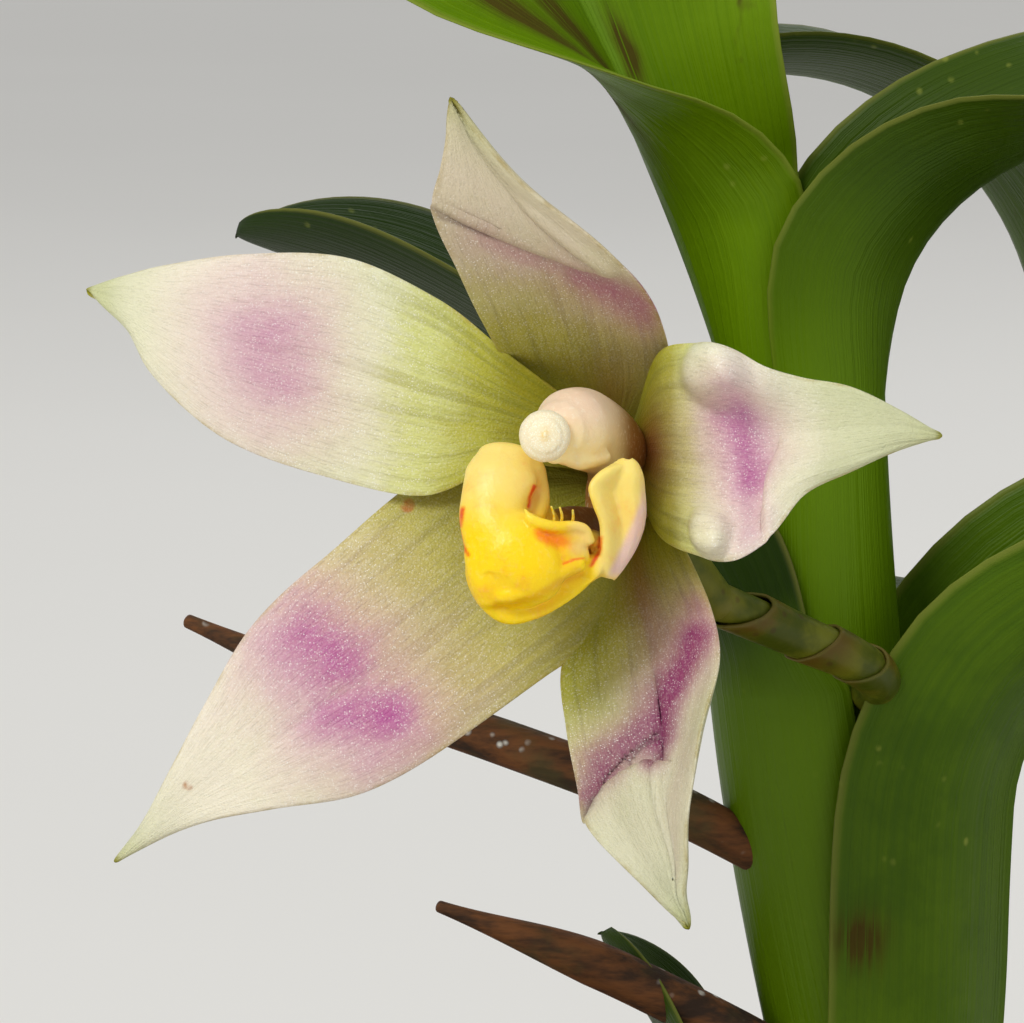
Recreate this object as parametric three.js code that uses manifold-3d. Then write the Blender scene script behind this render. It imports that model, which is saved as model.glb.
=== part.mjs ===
// Potted orchid, Maxillaria carinulata, in flower. Millimetres, +Z up, origin at the centre of the pot's
// base. The leaves stand in two ranks on each shoot, every sheath wrapping the ones above it. One flower on a
// short stalk comes out of a leaf axil of the main shoot and faces the front, -Y.
import * as THREE from "three";
import { mergeVertices } from "three/addons/utils/BufferGeometryUtils.js";
import Module from "manifold-3d";

const wasm = await Module();
wasm.setup();

// Driving dimensions
const POT = {
  height: 82,
  wall: 4,
  floor: 5,
  baseRadius: 33,
  rimRadius: 47,
  rimBand: 19,
  rimStep: 2.6,
  lip: 1.5,
  sides: 40,
};
const DRAIN = { count: 4, radius: 4, ring: 17 };
const FIT = 0.3; // the clearance that touching pieces keep
const BARK = {
  top: 73,
  rise: 1.5,
  chips: 23,
  chip: [18, 12.5, 5],
  corner: [1.8, 1.8, 1.2], // how far the corners of a chip are pushed about
  tilt: 0.9, // the range of a chip's tilt, in radians
};
const RHIZOME = { height: 71.6, radius: 2.9 };
const SHEATH_BASE = 74.5; // where the sheaths and stems start, on the rhizome
const SHELL = 0.7; // thickness of a sheath and of a leaf blade
const PITCH = SHELL + FIT; // from one nested sheath to the next
const TEPAL = 0.7; // thickness of a petal or sepal
const STEM_SIDES = 12;
const FLOWER = { place: [-8, -24, 138], nod: 8 }; // the flower's middle, and its nod in degrees

const deg = THREE.MathUtils.degToRad;
const vec = (x, y, z) => new THREE.Vector3(x, y, z);
const mix = THREE.MathUtils.lerp;
const ease = THREE.MathUtils.smoothstep;

// A repeatable random number from 0 to 1.
function seeded(seed) {
  let state = seed;
  return () => {
    state = (state * 1664525 + 1013904223) % 4294967296;
    return state / 4294967296;
  };
}

// Solids

const evenly = (count) => Array.from({ length: count + 1 }, (_, i) => i / count);

function solidOf(geometry) {
  const bare = new THREE.BufferGeometry().setAttribute("position", geometry.getAttribute("position"));
  if (geometry.index) bare.setIndex(geometry.index);
  const merged = mergeVertices(bare, 1e-4);
  return new wasm.Manifold(
    new wasm.Mesh({
      numProp: 3,
      vertProperties: merged.attributes.position.array,
      triVerts: new Uint32Array(merged.index.array),
    }),
  );
}

function geometryOf(manifold) {
  const mesh = manifold.getMesh();
  return new THREE.BufferGeometry()
    .setAttribute("position", new THREE.BufferAttribute(Float32Array.from(mesh.vertProperties), 3))
    .setIndex(new THREE.BufferAttribute(Uint32Array.from(mesh.triVerts), 1));
}

// The largest body of a cut piece, without the loose scraps.
function mainBody(manifold) {
  return manifold.decompose().reduce((a, b) => (b.volume() > a.volume() ? b : a));
}

const cut = (whole, ...tools) => mainBody(tools.reduce((left, tool) => left.subtract(tool), whole));
const fuse = (...parts) => parts.reduce((whole, part) => whole.add(part));

// A closed sheet of even thickness on surface(u, v): u from 0 to 1 along it, in the listed rows, and v from
// -1 to 1 across.
function sheet(surface, rows, across, thickness) {
  const points = [];
  const step = 1e-3;
  const along = rows.length - 1;
  for (const face of [0.5, -0.5])
    for (const u of rows)
      for (let j = 0; j <= across; j++) {
        const v = (2 * j) / across - 1;
        const forward = surface(Math.min(u + step, 1), v).sub(surface(Math.max(u - step, 0), v));
        const sideways = surface(u, Math.min(v + step, 1)).sub(surface(u, Math.max(v - step, -1)));
        const normal = forward.cross(sideways).normalize();
        points.push(...surface(u, v).addScaledVector(normal, face * thickness).toArray());
      }
  const row = across + 1;
  const back = row * (along + 1);
  const faces = [];
  const quad = (a, b, c, d) => faces.push(a, b, c, a, c, d);
  for (let i = 0; i < along; i++)
    for (let j = 0; j < across; j++) {
      const a = i * row + j;
      quad(a, a + row, a + row + 1, a + 1);
      quad(back + a, back + a + 1, back + a + row + 1, back + a + row);
    }
  for (let i = 0; i < along; i++) {
    const a = i * row;
    quad(a, back + a, back + a + row, a + row);
    quad(a + across, a + across + row, back + a + across + row, back + a + across);
  }
  for (let j = 0; j < across; j++) {
    quad(j, j + 1, back + j + 1, back + j);
    const end = along * row + j;
    quad(end, back + end, back + end + 1, end + 1);
  }
  const geometry = new THREE.BufferGeometry();
  geometry.setAttribute("position", new THREE.BufferAttribute(new Float32Array(points), 3));
  geometry.setIndex(faces);
  return solidOf(geometry);
}

// A round or oval body along a smooth line through the stations' centres. Each station is [x, y, z, radius],
// or [x, y, z, radius, flatness] where flatness is the depth across "flat" as a share of the radius.
function loft(stations, sides, perSpan, flat = vec(0, 1, 0), grow = 0) {
  const line = new THREE.CatmullRomCurve3(stations.map(([x, y, z]) => vec(x, y, z)), false, "centripetal");
  const spans = stations.length - 1;
  const rings = spans * perSpan;
  const value = (t, k, fallback) => {
    const i = Math.min(Math.floor(t), spans - 1);
    const at = (n) => stations[n][k] ?? fallback;
    return mix(at(i), at(i + 1), ease(t - i, 0, 1) * 0.5 + (t - i) * 0.5);
  };
  const points = [];
  for (let r = 0; r <= rings; r++) {
    const t = (r / rings) * spans;
    const centre = line.getPoint(r / rings);
    const tangent = line.getTangent(r / rings);
    if (r === 0) centre.addScaledVector(tangent, -grow);
    if (r === rings) centre.addScaledVector(tangent, grow);
    const depth = flat.clone().addScaledVector(tangent, -flat.dot(tangent)).normalize();
    const width = tangent.clone().cross(depth);
    const radius = value(t, 3, 1) + grow;
    const squash = value(t, 4, 1);
    for (let s = 0; s < sides; s++) {
      const angle = (2 * Math.PI * s) / sides;
      const p = centre
        .clone()
        .addScaledVector(width, radius * Math.cos(angle))
        .addScaledVector(depth, radius * squash * Math.sin(angle));
      points.push(...p.toArray());
    }
  }
  const faces = [];
  for (let r = 0; r < rings; r++)
    for (let s = 0; s < sides; s++) {
      const a = r * sides + s;
      const b = r * sides + ((s + 1) % sides);
      faces.push(a, b, b + sides, a, b + sides, a + sides);
    }
  for (const [ring, turn] of [
    [0, -1],
    [rings, 1],
  ]) {
    const hub = points.length / 3;
    const end = line.getPoint(ring / rings).addScaledVector(line.getTangent(ring / rings), turn * grow);
    points.push(...end.toArray());
    for (let s = 0; s < sides; s++) {
      const a = ring * sides + s;
      const b = ring * sides + ((s + 1) % sides);
      faces.push(hub, ...(turn > 0 ? [a, b] : [b, a]));
    }
  }
  const geometry = new THREE.BufferGeometry();
  geometry.setAttribute("position", new THREE.BufferAttribute(new Float32Array(points), 3));
  geometry.setIndex(faces);
  const made = solidOf(geometry);
  return made.volume() < 0 ? solidOf(flipped(geometry)) : made;
}

function flipped(geometry) {
  const index = Array.from(geometry.index.array);
  for (let i = 0; i < index.length; i += 3) [index[i + 1], index[i + 2]] = [index[i + 2], index[i + 1]];
  return geometry.clone().setIndex(index);
}

function ball(centre, radius, scale) {
  const geometry = new THREE.SphereGeometry(radius, 12, 8);
  geometry.scale(...scale).translate(...centre);
  return solidOf(geometry);
}

// Pot and bark

function lathe(profile, sides) {
  const geometry = new THREE.LatheGeometry(
    profile.map(([r, z]) => new THREE.Vector2(r, z)),
    sides,
  );
  return solidOf(geometry.rotateX(Math.PI / 2));
}

const potInside = (z) => mix(POT.baseRadius - POT.wall, POT.rimRadius - POT.wall, z / POT.height);

function pot() {
  const bandFoot = POT.height - POT.rimBand;
  const underBand = mix(POT.baseRadius, POT.rimRadius, bandFoot / POT.height) - POT.rimStep;
  const body = lathe(
    [
      [0, 0],
      [POT.baseRadius - 1, 0],
      [POT.baseRadius, 1],
      [underBand, bandFoot - 1],
      [POT.rimRadius - 1, bandFoot],
      [POT.rimRadius + 1, POT.height - POT.lip],
      [POT.rimRadius + 1 - POT.lip, POT.height],
      [POT.rimRadius - POT.wall + 1, POT.height],
      [potInside(POT.height - 2), POT.height - 2],
      [potInside(POT.floor), POT.floor],
      [0, POT.floor],
    ],
    POT.sides,
  );
  const drains = Array.from({ length: DRAIN.count }, (_, i) => {
    const turn = (2 * Math.PI * (i + 0.5)) / DRAIN.count;
    const hole = new THREE.CylinderGeometry(DRAIN.radius, DRAIN.radius, 4 * POT.floor, 16);
    hole.rotateX(Math.PI / 2).translate(DRAIN.ring * Math.cos(turn), DRAIN.ring * Math.sin(turn), 0);
    return solidOf(hole);
  });
  return cut(body, ...drains);
}

// One bark chip: a block with its corners pushed about.
function chip(random, x, y) {
  const block = new THREE.BoxGeometry(...BARK.chip.map((size) => size * (0.6 + 0.6 * random())));
  const merged = mergeVertices(
    new THREE.BufferGeometry().setAttribute("position", block.toNonIndexed().getAttribute("position")),
    1e-3,
  );
  const corners = merged.getAttribute("position");
  for (let i = 0; i < corners.count; i++)
    for (let k = 0; k < 3; k++)
      corners.setComponent(i, k, corners.getComponent(i, k) + BARK.corner[k] * (random() - 0.5));
  merged.rotateX(BARK.tilt * (random() - 0.5));
  merged.rotateY(BARK.tilt * (random() - 0.5));
  merged.rotateZ(2 * Math.PI * random());
  merged.translate(x, y, BARK.top + BARK.rise * (random() - 0.4));
  return solidOf(merged);
}

function barkMix(...holes) {
  const random = seeded(7);
  const top = BARK.top - 0.5;
  const body = lathe(
    [
      [0, POT.floor + FIT],
      [potInside(POT.floor + FIT) - FIT, POT.floor + FIT],
      [potInside(top) - FIT, top],
      [0, top],
    ],
    POT.sides,
  );
  const golden = Math.PI * (3 - Math.sqrt(5));
  const reach = potInside(BARK.top) - 0.75 * BARK.chip[0];
  const chips = Array.from({ length: BARK.chips }, (_, i) => {
    const r = reach * Math.sqrt((i + 0.5) / BARK.chips);
    return chip(random, r * Math.cos(i * golden), r * Math.sin(i * golden));
  });
  return cut(fuse(body, ...chips), ...holes);
}

// Shoots

// A shoot's own frame at height h: its axis runs up from the base and straightens from the first lean to the
// second; "out" is the way its right-hand leaves point and "side" the way across.
function shootFrame(shoot, h) {
  const [first, second] = shoot.leans;
  const reach = Math.max(h, 0) / shoot.height;
  const lean = (k) => first[k] + (second[k] - first[k]) * reach;
  const shift = (k) => h * (first[k] + ((second[k] - first[k]) * reach) / 2);
  const centre = vec(shoot.base[0] + shift(0), shoot.base[1] + shift(1), SHEATH_BASE + h);
  const axis = vec(lean(0), lean(1), 1).normalize();
  const turned = vec(Math.cos(deg(shoot.facing)), Math.sin(deg(shoot.facing)), 0);
  const out = turned.addScaledVector(axis, -turned.dot(axis)).normalize();
  return { centre, axis, out, side: axis.clone().cross(out) };
}

// The bare stem's half-width (out) and half-depth (side) at height h: a swollen foot, a slim neck, and a
// wider top where the fan of leaves opens.
function core({ foot, neck, top, swell, height }, h) {
  const swollen = Math.exp(-(((Math.max(h, 0) - swell) / swell) ** 2));
  const fan = ease(h, 0.4 * height, height);
  const wide = neck + (foot - neck) * swollen + (top - neck) * fan;
  return { wide, deep: 0.8 * wide };
}

// How far a sheath's middle surface lies outside the bare stem.
const shellAt = (level) => FIT + level * PITCH + SHELL / 2;

// The heights at which a stem and all its sheaths have their rows, so that their facets nest. A sheath's
// mouth and a stem's end are at one of them.
const ROWS = [0, 4, 8, 13, 18, 26, 38, 50, 64];
const rowsUpTo = (h) => ROWS.filter((row) => row <= h);

// An oval rod that follows a shoot from just under its base to height h, "extra" wider than the bare stem.
function shootRod(shoot, h, extra, blunt = 1) {
  const rows = [-2, ...rowsUpTo(h)];
  const stations = rows.map((row) => {
    const { wide, deep } = core(shoot, row);
    const end = row === h ? blunt : 1;
    const flatness = (deep + extra) / (wide + extra);
    return [...shootFrame(shoot, row).centre.toArray(), (wide + extra) * end, flatness];
  });
  return loft(stations, STEM_SIDES, 1, shootFrame(shoot, 0).side);
}

const stem = (shoot) => shootRod(shoot, shoot.height, 0, 0.6);
const socket = (shoot) => shootRod(shoot, 18, shellAt(shoot.sheaths - 1) + SHELL + FIT);

// A value from a hand-set list of [position, value] pairs, straight between them.
function along(list, t) {
  const i = Math.min(Math.max(list.findIndex(([at]) => at > t), 1), list.length - 1);
  const next = t >= list[list.length - 1][0] ? list.length - 1 : i;
  const [t0, v0] = list[next - 1];
  const [t1, v1] = list[next];
  return mix(v0, v1, THREE.MathUtils.clamp((t - t0) / (t1 - t0), 0, 1));
}

const MOUTH_WRAP = 108; // how far round each way a sheath reaches at its mouth, in degrees
const SHEATH_SHARE = 0.4; // u counts the sheath up to here, and then the blade up to 1
const KEEL_STEPS = 60;
const CLOSED = 24; // half the angle of the fold where the blade begins, in degrees

// What a leaf has unless its own list says otherwise: how far round its sheath reaches at the foot; the share
// of its width that it has at the mouth; the shares of the blade by which it is fully wide and fully open;
// half the angle of its open fold; how blunt its tip is; the depth of the waves in its edge; how it twists.
const LEAF = {
  wrap: 150,
  waist: 0.62,
  widens: 0.36,
  opens: 0.36,
  gape: 72,
  point: 3.4,
  wave: 0.5,
  twist: [
    [0, 0],
    [1, 0],
  ],
};

// A leaf's surface. Its sheath hugs the shoot and narrows to a half-tube at its mouth. From there the keel
// leaves the shoot at the angles listed in "bend", and the half-tube becomes a narrow trough, which opens to
// a blade folded along the keel.
function leafSurface(shoot, own) {
  const leaf = { ...LEAF, ...own };
  const { mouth, blade } = leaf;
  const shell = shellAt(leaf.level);
  const ranked = (h) => {
    const { centre, axis, out, side } = shootFrame(shoot, h);
    return { centre, axis, out: out.multiplyScalar(leaf.rank), side: side.multiplyScalar(leaf.rank) };
  };
  const top = ranked(mouth);
  const angleAt = (t) => deg(along(leaf.bend, t));
  const keel = [top.centre.clone().addScaledVector(top.out, core(shoot, mouth).wide + shell)];
  for (let i = 0; i < KEEL_STEPS; i++) {
    const angle = angleAt((i + 0.5) / KEEL_STEPS);
    const way = top.axis
      .clone()
      .multiplyScalar(Math.cos(angle))
      .addScaledVector(top.out, Math.sin(angle));
    keel.push(keel[i].clone().addScaledVector(way, blade / KEEL_STEPS));
  }
  const keelAt = (t) => {
    const i = Math.min(Math.floor(t * KEEL_STEPS), KEEL_STEPS - 1);
    return keel[i].clone().lerp(keel[i + 1], t * KEEL_STEPS - i);
  };
  const halfWidth = (t) =>
    leaf.width * mix(leaf.waist, 1, ease(t, 0, leaf.widens)) * (1 - t ** leaf.point) ** 0.62;
  return (u, v) => {
    const t = Math.max((u - SHEATH_SHARE) / (1 - SHEATH_SHARE), 0);
    const h = mouth * Math.min(u / SHEATH_SHARE, 1);
    const place = t > 0 ? top : ranked(h);
    const { wide, deep } = core(shoot, Math.min(h + t * blade, shoot.height));
    const angle = t > 0 ? angleAt(t) : 0;
    const away = place.out
      .clone()
      .multiplyScalar(Math.cos(angle))
      .addScaledVector(place.axis, -Math.sin(angle));
    const root = t > 0 ? keelAt(t) : place.centre.clone().addScaledVector(place.out, wide + shell);
    const round = v * deg(mix(leaf.wrap, MOUTH_WRAP, h / mouth));
    const w = Math.max(halfWidth(t), 0.3);
    const gape = deg(mix(CLOSED, leaf.gape, ease(t, 0.12 * leaf.opens, 1.15 * leaf.opens)));
    const wave = leaf.wave * Math.sin(9 * t + 2 * v) * v * v * ease(t, 0.2, 0.5);
    const lift = w * Math.abs(v) ** 1.25 * Math.cos(gape) - wave;
    const hug = [(wide + shell) * (1 - Math.cos(round)), (deep + shell) * Math.sin(round)];
    const trough = [lift, (deep + shell) * Math.sin(THREE.MathUtils.clamp(1.6 * v, -1, 1) * (Math.PI / 2))];
    const fold = [lift, w * v * Math.sin(gape)];
    const [inward, sideways] = [0, 1].map((k) =>
      mix(mix(hug[k], trough[k], ease(t, 0, 0.06)), fold[k], ease(t, 0.2 * leaf.opens, leaf.opens)),
    );
    const twist = deg(along(leaf.twist, t));
    return root
      .addScaledVector(place.side, sideways * Math.cos(twist) + inward * Math.sin(twist))
      .addScaledVector(away, sideways * Math.sin(twist) - inward * Math.cos(twist));
  };
}

const LONG_BLADE = [0.04, 0.08, 0.13, 0.2, 0.32, 0.5, 0.7, 0.87, 0.965, 1];
const SHORT_BLADE = [0.12, 0.3, 0.5, 0.68, 0.84, 0.95, 1];

function leafSolid(shoot, leaf, grow = 0) {
  const sheathRows = rowsUpTo(leaf.mouth).map((h) => (SHEATH_SHARE * h) / leaf.mouth);
  const bladeRows = (leaf.blade > 60 ? LONG_BLADE : SHORT_BLADE).map((t) => mix(SHEATH_SHARE, 1, t));
  const across = leaf.level < 3 ? 8 : 10;
  const surface = leafSurface(shoot, leaf);
  const widened = (u, v) => surface(u, 1.05 * v);
  return sheet(grow ? widened : surface, [...sheathRows, ...bladeRows], across, SHELL + 2 * grow);
}

// The main shoot, in flower; an older one behind it on the right; and a young one on the left.
const MAIN = {
  base: [13, 3],
  leans: [[-0.3, -0.03], [-0.1, 0]],
  facing: 0,
  foot: 2.8,
  neck: 1.3,
  top: 2.3,
  swell: 8,
  height: 50,
  sheaths: 5,
};
const OLDER = {
  base: [20, 22],
  leans: [[0.16, 0.1], [0.02, 0.06]],
  facing: 14,
  foot: 2.9,
  neck: 1.5,
  top: 1.8,
  swell: 8,
  height: 26,
  sheaths: 5,
};
const YOUNG = {
  base: [-14, -7],
  leans: [[-0.25, -0.1], [-0.1, -0.02]],
  facing: 200,
  foot: 1.6,
  neck: 1.2,
  top: 1.2,
  swell: 4,
  height: 8,
  sheaths: 3,
};

// rank 1 points along the shoot's "facing", rank -1 the other way. The highest level is the outermost sheath.
// "bend" lists how far the keel leans away from the shoot, in degrees, at shares of the blade's length.
const LEAVES = {
  leaf_main_lowest: [
    MAIN,
    {
      rank: -1,
      level: 4.25,
      mouth: 18,
      blade: 23,
      width: 6.5,
      bend: [[0, 1], [1, 22]],
      waist: 0.8,
      wrap: 130,
      point: 5,
    },
  ],
  leaf_main_low: [
    MAIN,
    {
      rank: 1,
      level: 3,
      mouth: 26,
      blade: 104,
      width: 11,
      bend: [[0, 18], [0.1, 12], [0.16, 14], [0.27, 80], [1, 138]],
      twist: [[0, 0], [0.22, 0], [0.36, -14], [1, -20]],
      waist: 0.85,
      opens: 0.5,
    },
  ],
  leaf_main_left: [
    MAIN,
    { rank: -1, level: 2, mouth: 50, blade: 34, width: 9, bend: [[0, 11], [1, 70]], point: 5, gape: 62 },
  ],
  leaf_main_right: [
    MAIN,
    {
      rank: 1,
      level: 1,
      mouth: 64,
      blade: 112,
      width: 11,
      bend: [[0, 6], [0.04, 16], [0.08, 42], [0.12, 64], [0.3, 84], [1, 128]],
      twist: [[0, 0], [0.05, 0], [0.14, -10], [1, -14]],
      waist: 0.68,
      widens: 0.6,
      opens: 0.18,
    },
  ],
  leaf_main_top: [
    MAIN,
    {
      rank: -1,
      level: 0,
      mouth: 64,
      blade: 128,
      width: 11.5,
      bend: [[0, 14], [0.1, 21], [0.3, 20], [1, 46]],
      twist: [[0, 0], [0.07, 0], [0.13, 42], [0.2, 66], [1, 80]],
      waist: 0.5,
      widens: 0.2,
      opens: 0.2,
    },
  ],
  leaf_older_dry: [
    OLDER,
    {
      rank: -1,
      level: 4.2,
      mouth: 8,
      blade: 9,
      width: 5.5,
      bend: [[0, 6], [1, 30]],
      waist: 0.9,
      wrap: 125,
    },
  ],
  leaf_older_low: [
    OLDER,
    { rank: 1, level: 3, mouth: 13, blade: 78, width: 10, bend: [[0, 8], [0.3, 50], [1, 118]], wrap: 130 },
  ],
  leaf_older_left: [
    OLDER,
    {
      rank: -1,
      level: 2,
      mouth: 18,
      blade: 42,
      width: 8.5,
      bend: [[0, 3], [0.5, 8], [0.78, 66], [1, 112]],
      point: 4,
      wrap: 135,
    },
  ],
  leaf_older_right: [
    OLDER,
    { rank: 1, level: 1, mouth: 26, blade: 112, width: 11.5, bend: [[0, 12], [0.2, 26], [1, 104]] },
  ],
  leaf_older_top: [
    OLDER,
    {
      rank: -1,
      level: 0,
      mouth: 38,
      blade: 57,
      width: 9.5,
      bend: [[0, 2], [0.5, 10], [0.75, 60], [1, 120]],
      point: 4,
    },
  ],
  leaf_young_low: [
    YOUNG,
    { rank: 1, level: 2, mouth: 4, blade: 10, width: 4, bend: [[0, 8], [1, 40]], waist: 0.9, wrap: 120 },
  ],
  leaf_young_mid: [
    YOUNG,
    { rank: -1, level: 1, mouth: 8, blade: 16, width: 4.6, bend: [[0, 4], [1, 34]], waist: 0.8, wrap: 130 },
  ],
  leaf_young_top: [
    YOUNG,
    { rank: 1, level: 0, mouth: 13, blade: 17, width: 4, bend: [[0, 2], [1, 24]], waist: 0.8 },
  ],
};

// Rhizome and roots

// A root leaves the rhizome, crosses the top of the bark and dives into it.
function root(start, over, dive, radius, grow) {
  const crest = BARK.top + 2.6;
  const across = vec(start[1] - over[1], over[0] - start[0], 0).normalize();
  return loft(
    [
      [...start, RHIZOME.height, radius],
      [mix(start[0], over[0], 0.45), mix(start[1], over[1], 0.45), crest - 1, radius],
      [...over, crest, radius],
      [...dive, BARK.top - 1.5, radius],
      [dive[0] * 1.05, dive[1] * 1.05, BARK.top - 9, radius * 0.8],
    ],
    6,
    2,
    across,
    grow,
  );
}

function rhizome(grow = 0) {
  const z = RHIZOME.height;
  const r = RHIZOME.radius;
  const runner = loft(
    [
      [-19, -10, z - 1.5, 1.6],
      [...YOUNG.base, z, r * 0.85],
      [0, -2, z - 0.6, r * 0.8],
      [...MAIN.base, z, r],
      [18, 12, z - 0.6, r * 0.9],
      [...OLDER.base, z, r],
      [20, 29, z - 1.5, 1.8],
    ],
    10,
    2,
    vec(0, 0, 1),
    grow,
  );
  return fuse(
    runner,
    root([6, 0], [1, -16], [2, -31], 1.5, grow),
    root([-8, -4], [-16, -18], [-20, -27], 1.35, grow),
    root([-4, -3], [-18, 8], [-30, 14], 1.4, grow),
    root([8, 2], [-2, 18], [-10, 31], 1.45, grow),
    root([17, 10], [27, -6], [29, -16], 1.35, grow),
  );
}

// Flower, in its own frame: x to the right, y into the flower, z up, as seen square on from the front

// A petal or sepal lies on three curves from its base to its tip: one edge, the rib and the other edge. Bumps
// push it out where it is puckered: each has a middle (u, v), a size (u, v) and a push (x, y, z).
function tepalSurface({ rows, bumps = [] }, widen = 1) {
  const curves = [0, 1, 2].map(
    (k) => new THREE.CatmullRomCurve3(rows.map((row) => vec(...row[k])), false, "centripetal"),
  );
  return (u, v) => {
    const [edgeA, rib, edgeB] = curves.map((curve) => curve.getPoint(u));
    const w = v * widen;
    const p = rib
      .multiplyScalar(1 - w * w)
      .addScaledVector(edgeA, (w * w - w) / 2)
      .addScaledVector(edgeB, (w * w + w) / 2);
    for (const { at, size, push } of bumps) {
      const far = ((u - at[0]) / size[0]) ** 2 + ((v - at[1]) / size[1]) ** 2;
      p.addScaledVector(vec(...push), Math.exp(-far));
    }
    return p;
  };
}

const TEPALS = {
  petal_left: {
    rows: [
      [[-0.6, 6.3, 0.6], [0.0, 6.5, 1.7], [-0.4, 6.3, 3.0]],
      [[-4.4, 5.6, 0.8], [-4.1, 6.2, 3.0], [-4.0, 5.6, 5.5]],
      [[-8.0, 5.6, -0.6], [-7.6, 6.0, 3.9], [-7.3, 5.8, 8.2]],
      [[-12.6, 5.8, 0.2], [-12.0, 5.9, 5.2], [-11.4, 6.0, 10.2]],
      [[-17.3, 5.8, 2.0], [-16.7, 5.9, 6.3], [-16.2, 6.2, 10.4]],
      [[-20.6, 6.0, 5.0], [-20.3, 6.3, 7.5], [-20.0, 6.8, 9.9]],
      [[-21.5, 6.6, 6.7], [-21.8, 6.9, 8.1], [-21.7, 7.2, 9.5]],
      [[-23.5, 7.6, 8.7], [-23.6, 7.7, 8.8], [-23.5, 7.7, 8.9]],
    ],
  },
  petal_right: {
    rows: [
      [[1.7, 6.0, 2.9], [1.9, 6.2, 1.4], [1.7, 6.0, 0.0]],
      [[2.7, 3.6, 5.8], [3.0, 4.2, 1.4], [2.8, 3.4, -2.6]],
      [[4.2, 1.2, 6.2], [4.4, 1.8, 1.3], [4.6, 1.0, -3.4]],
      [[5.8, -1.0, 6.0], [6.1, 0.2, 1.2], [6.4, -1.2, -3.5]],
      [[7.4, -1.2, 5.1], [7.7, 0.3, 1.3], [8.1, -1.2, -2.6]],
      [[9.0, -1.0, 4.6], [9.4, -0.4, 1.6], [9.2, -1.4, -1.0]],
      [[11.2, -0.8, 4.2], [11.6, -0.5, 2.0], [11.4, -1.0, 0.4]],
      [[13.4, -0.3, 3.2], [13.6, -0.2, 2.2], [13.4, -0.4, 1.3]],
      [[15.3, 0.2, 2.1], [15.4, 0.2, 2.0], [15.3, 0.2, 1.9]],
    ],
    bumps: [
      { at: [0.33, -0.8], size: [0.09, 0.34], push: [-0.7, -1.3, 0.1] },
      { at: [0.36, 0.85], size: [0.08, 0.28], push: [-0.8, -1.4, -0.1] },
    ],
  },
  sepal_dorsal: {
    rows: [
      [[-0.6, 8.2, 2.4], [0.5, 8.5, 2.7], [1.7, 8.2, 2.6]],
      [[-3.9, 6.6, 5.0], [0.0, 6.9, 5.0], [3.2, 5.4, 5.0]],
      [[-5.2, 4.0, 7.0], [-0.5, 4.6, 7.2], [2.8, 2.6, 7.2]],
      [[-6.4, 1.0, 9.4], [-1.2, 2.4, 9.2], [1.9, 0.0, 8.7]],
      [[-7.6, -0.8, 12.3], [-2.1, 1.2, 10.6], [0.6, -1.2, 10.0]],
      [[-7.2, -0.9, 14.0], [-3.7, 0.2, 12.5], [-1.1, -1.3, 11.4]],
      [[-6.9, -0.6, 15.7], [-5.6, -0.2, 15.1], [-3.8, -1.0, 13.6]],
      [[-6.8, -0.4, 17.0], [-6.75, -0.4, 17.2], [-6.7, -0.4, 17.0]],
    ],
  },
  sepal_left: {
    rows: [
      [[-0.4, 7.8, 0.3], [0.4, 8.2, -0.4], [1.0, 8.2, -1.2]],
      [[-5.2, 7.2, 0.4], [-2.6, 7.2, -2.6], [0.4, 7.0, -5.4]],
      [[-9.2, 6.4, -1.4], [-5.9, 6.0, -5.4], [-2.8, 5.8, -8.7]],
      [[-12.9, 5.6, -3.8], [-9.5, 5.2, -8.2], [-6.5, 5.2, -11.9]],
      [[-15.9, 5.0, -6.7], [-13.1, 4.7, -10.7], [-10.8, 4.6, -14.3]],
      [[-18.0, 4.6, -10.2], [-16.2, 4.6, -12.9], [-14.9, 4.2, -15.0]],
      [[-19.6, 4.8, -13.2], [-18.7, 4.9, -14.6], [-17.9, 4.6, -15.6]],
      [[-20.9, 5.4, -15.6], [-20.6, 5.4, -16.1], [-20.2, 5.4, -16.5]],
      [[-22.2, 6.0, -17.4], [-22.2, 6.0, -17.5], [-22.1, 6.0, -17.5]],
    ],
  },
  sepal_right: {
    rows: [
      [[0.9, 8.0, -1.9], [1.8, 8.2, -1.3], [2.6, 8.0, -0.7]],
      [[-0.7, 7.4, -6.0], [1.8, 6.6, -4.6], [4.0, 5.0, -3.2]],
      [[-1.7, 6.0, -8.6], [2.3, 5.0, -7.2], [5.1, 2.8, -5.9]],
      [[-1.5, 4.0, -11.3], [2.7, 3.4, -10.0], [5.4, 0.8, -8.0]],
      [[-1.0, 1.8, -14.0], [2.8, 2.2, -12.7], [4.5, -0.8, -11.3]],
      [[-0.6, -0.6, -15.8], [2.4, 1.2, -14.5], [4.0, -1.4, -14.4]],
      [[1.1, -1.8, -17.5], [2.9, -0.8, -17.0], [3.8, -1.8, -17.1]],
      [[2.7, -1.9, -19.0], [3.4, -1.6, -18.8], [3.8, -1.9, -18.7]],
      [[3.9, -2.0, -20.0], [3.95, -2.0, -20.1], [4.0, -2.0, -20.0]],
    ],
  },
};

const TEPAL_GRID = { rows: 13, across: 6 };

function tepalSolid(name, grow = 0) {
  const surface = tepalSurface(TEPALS[name], grow ? 1.08 : 1);
  return sheet(surface, evenly(TEPAL_GRID.rows), TEPAL_GRID.across, TEPAL + 2 * grow);
}

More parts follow.
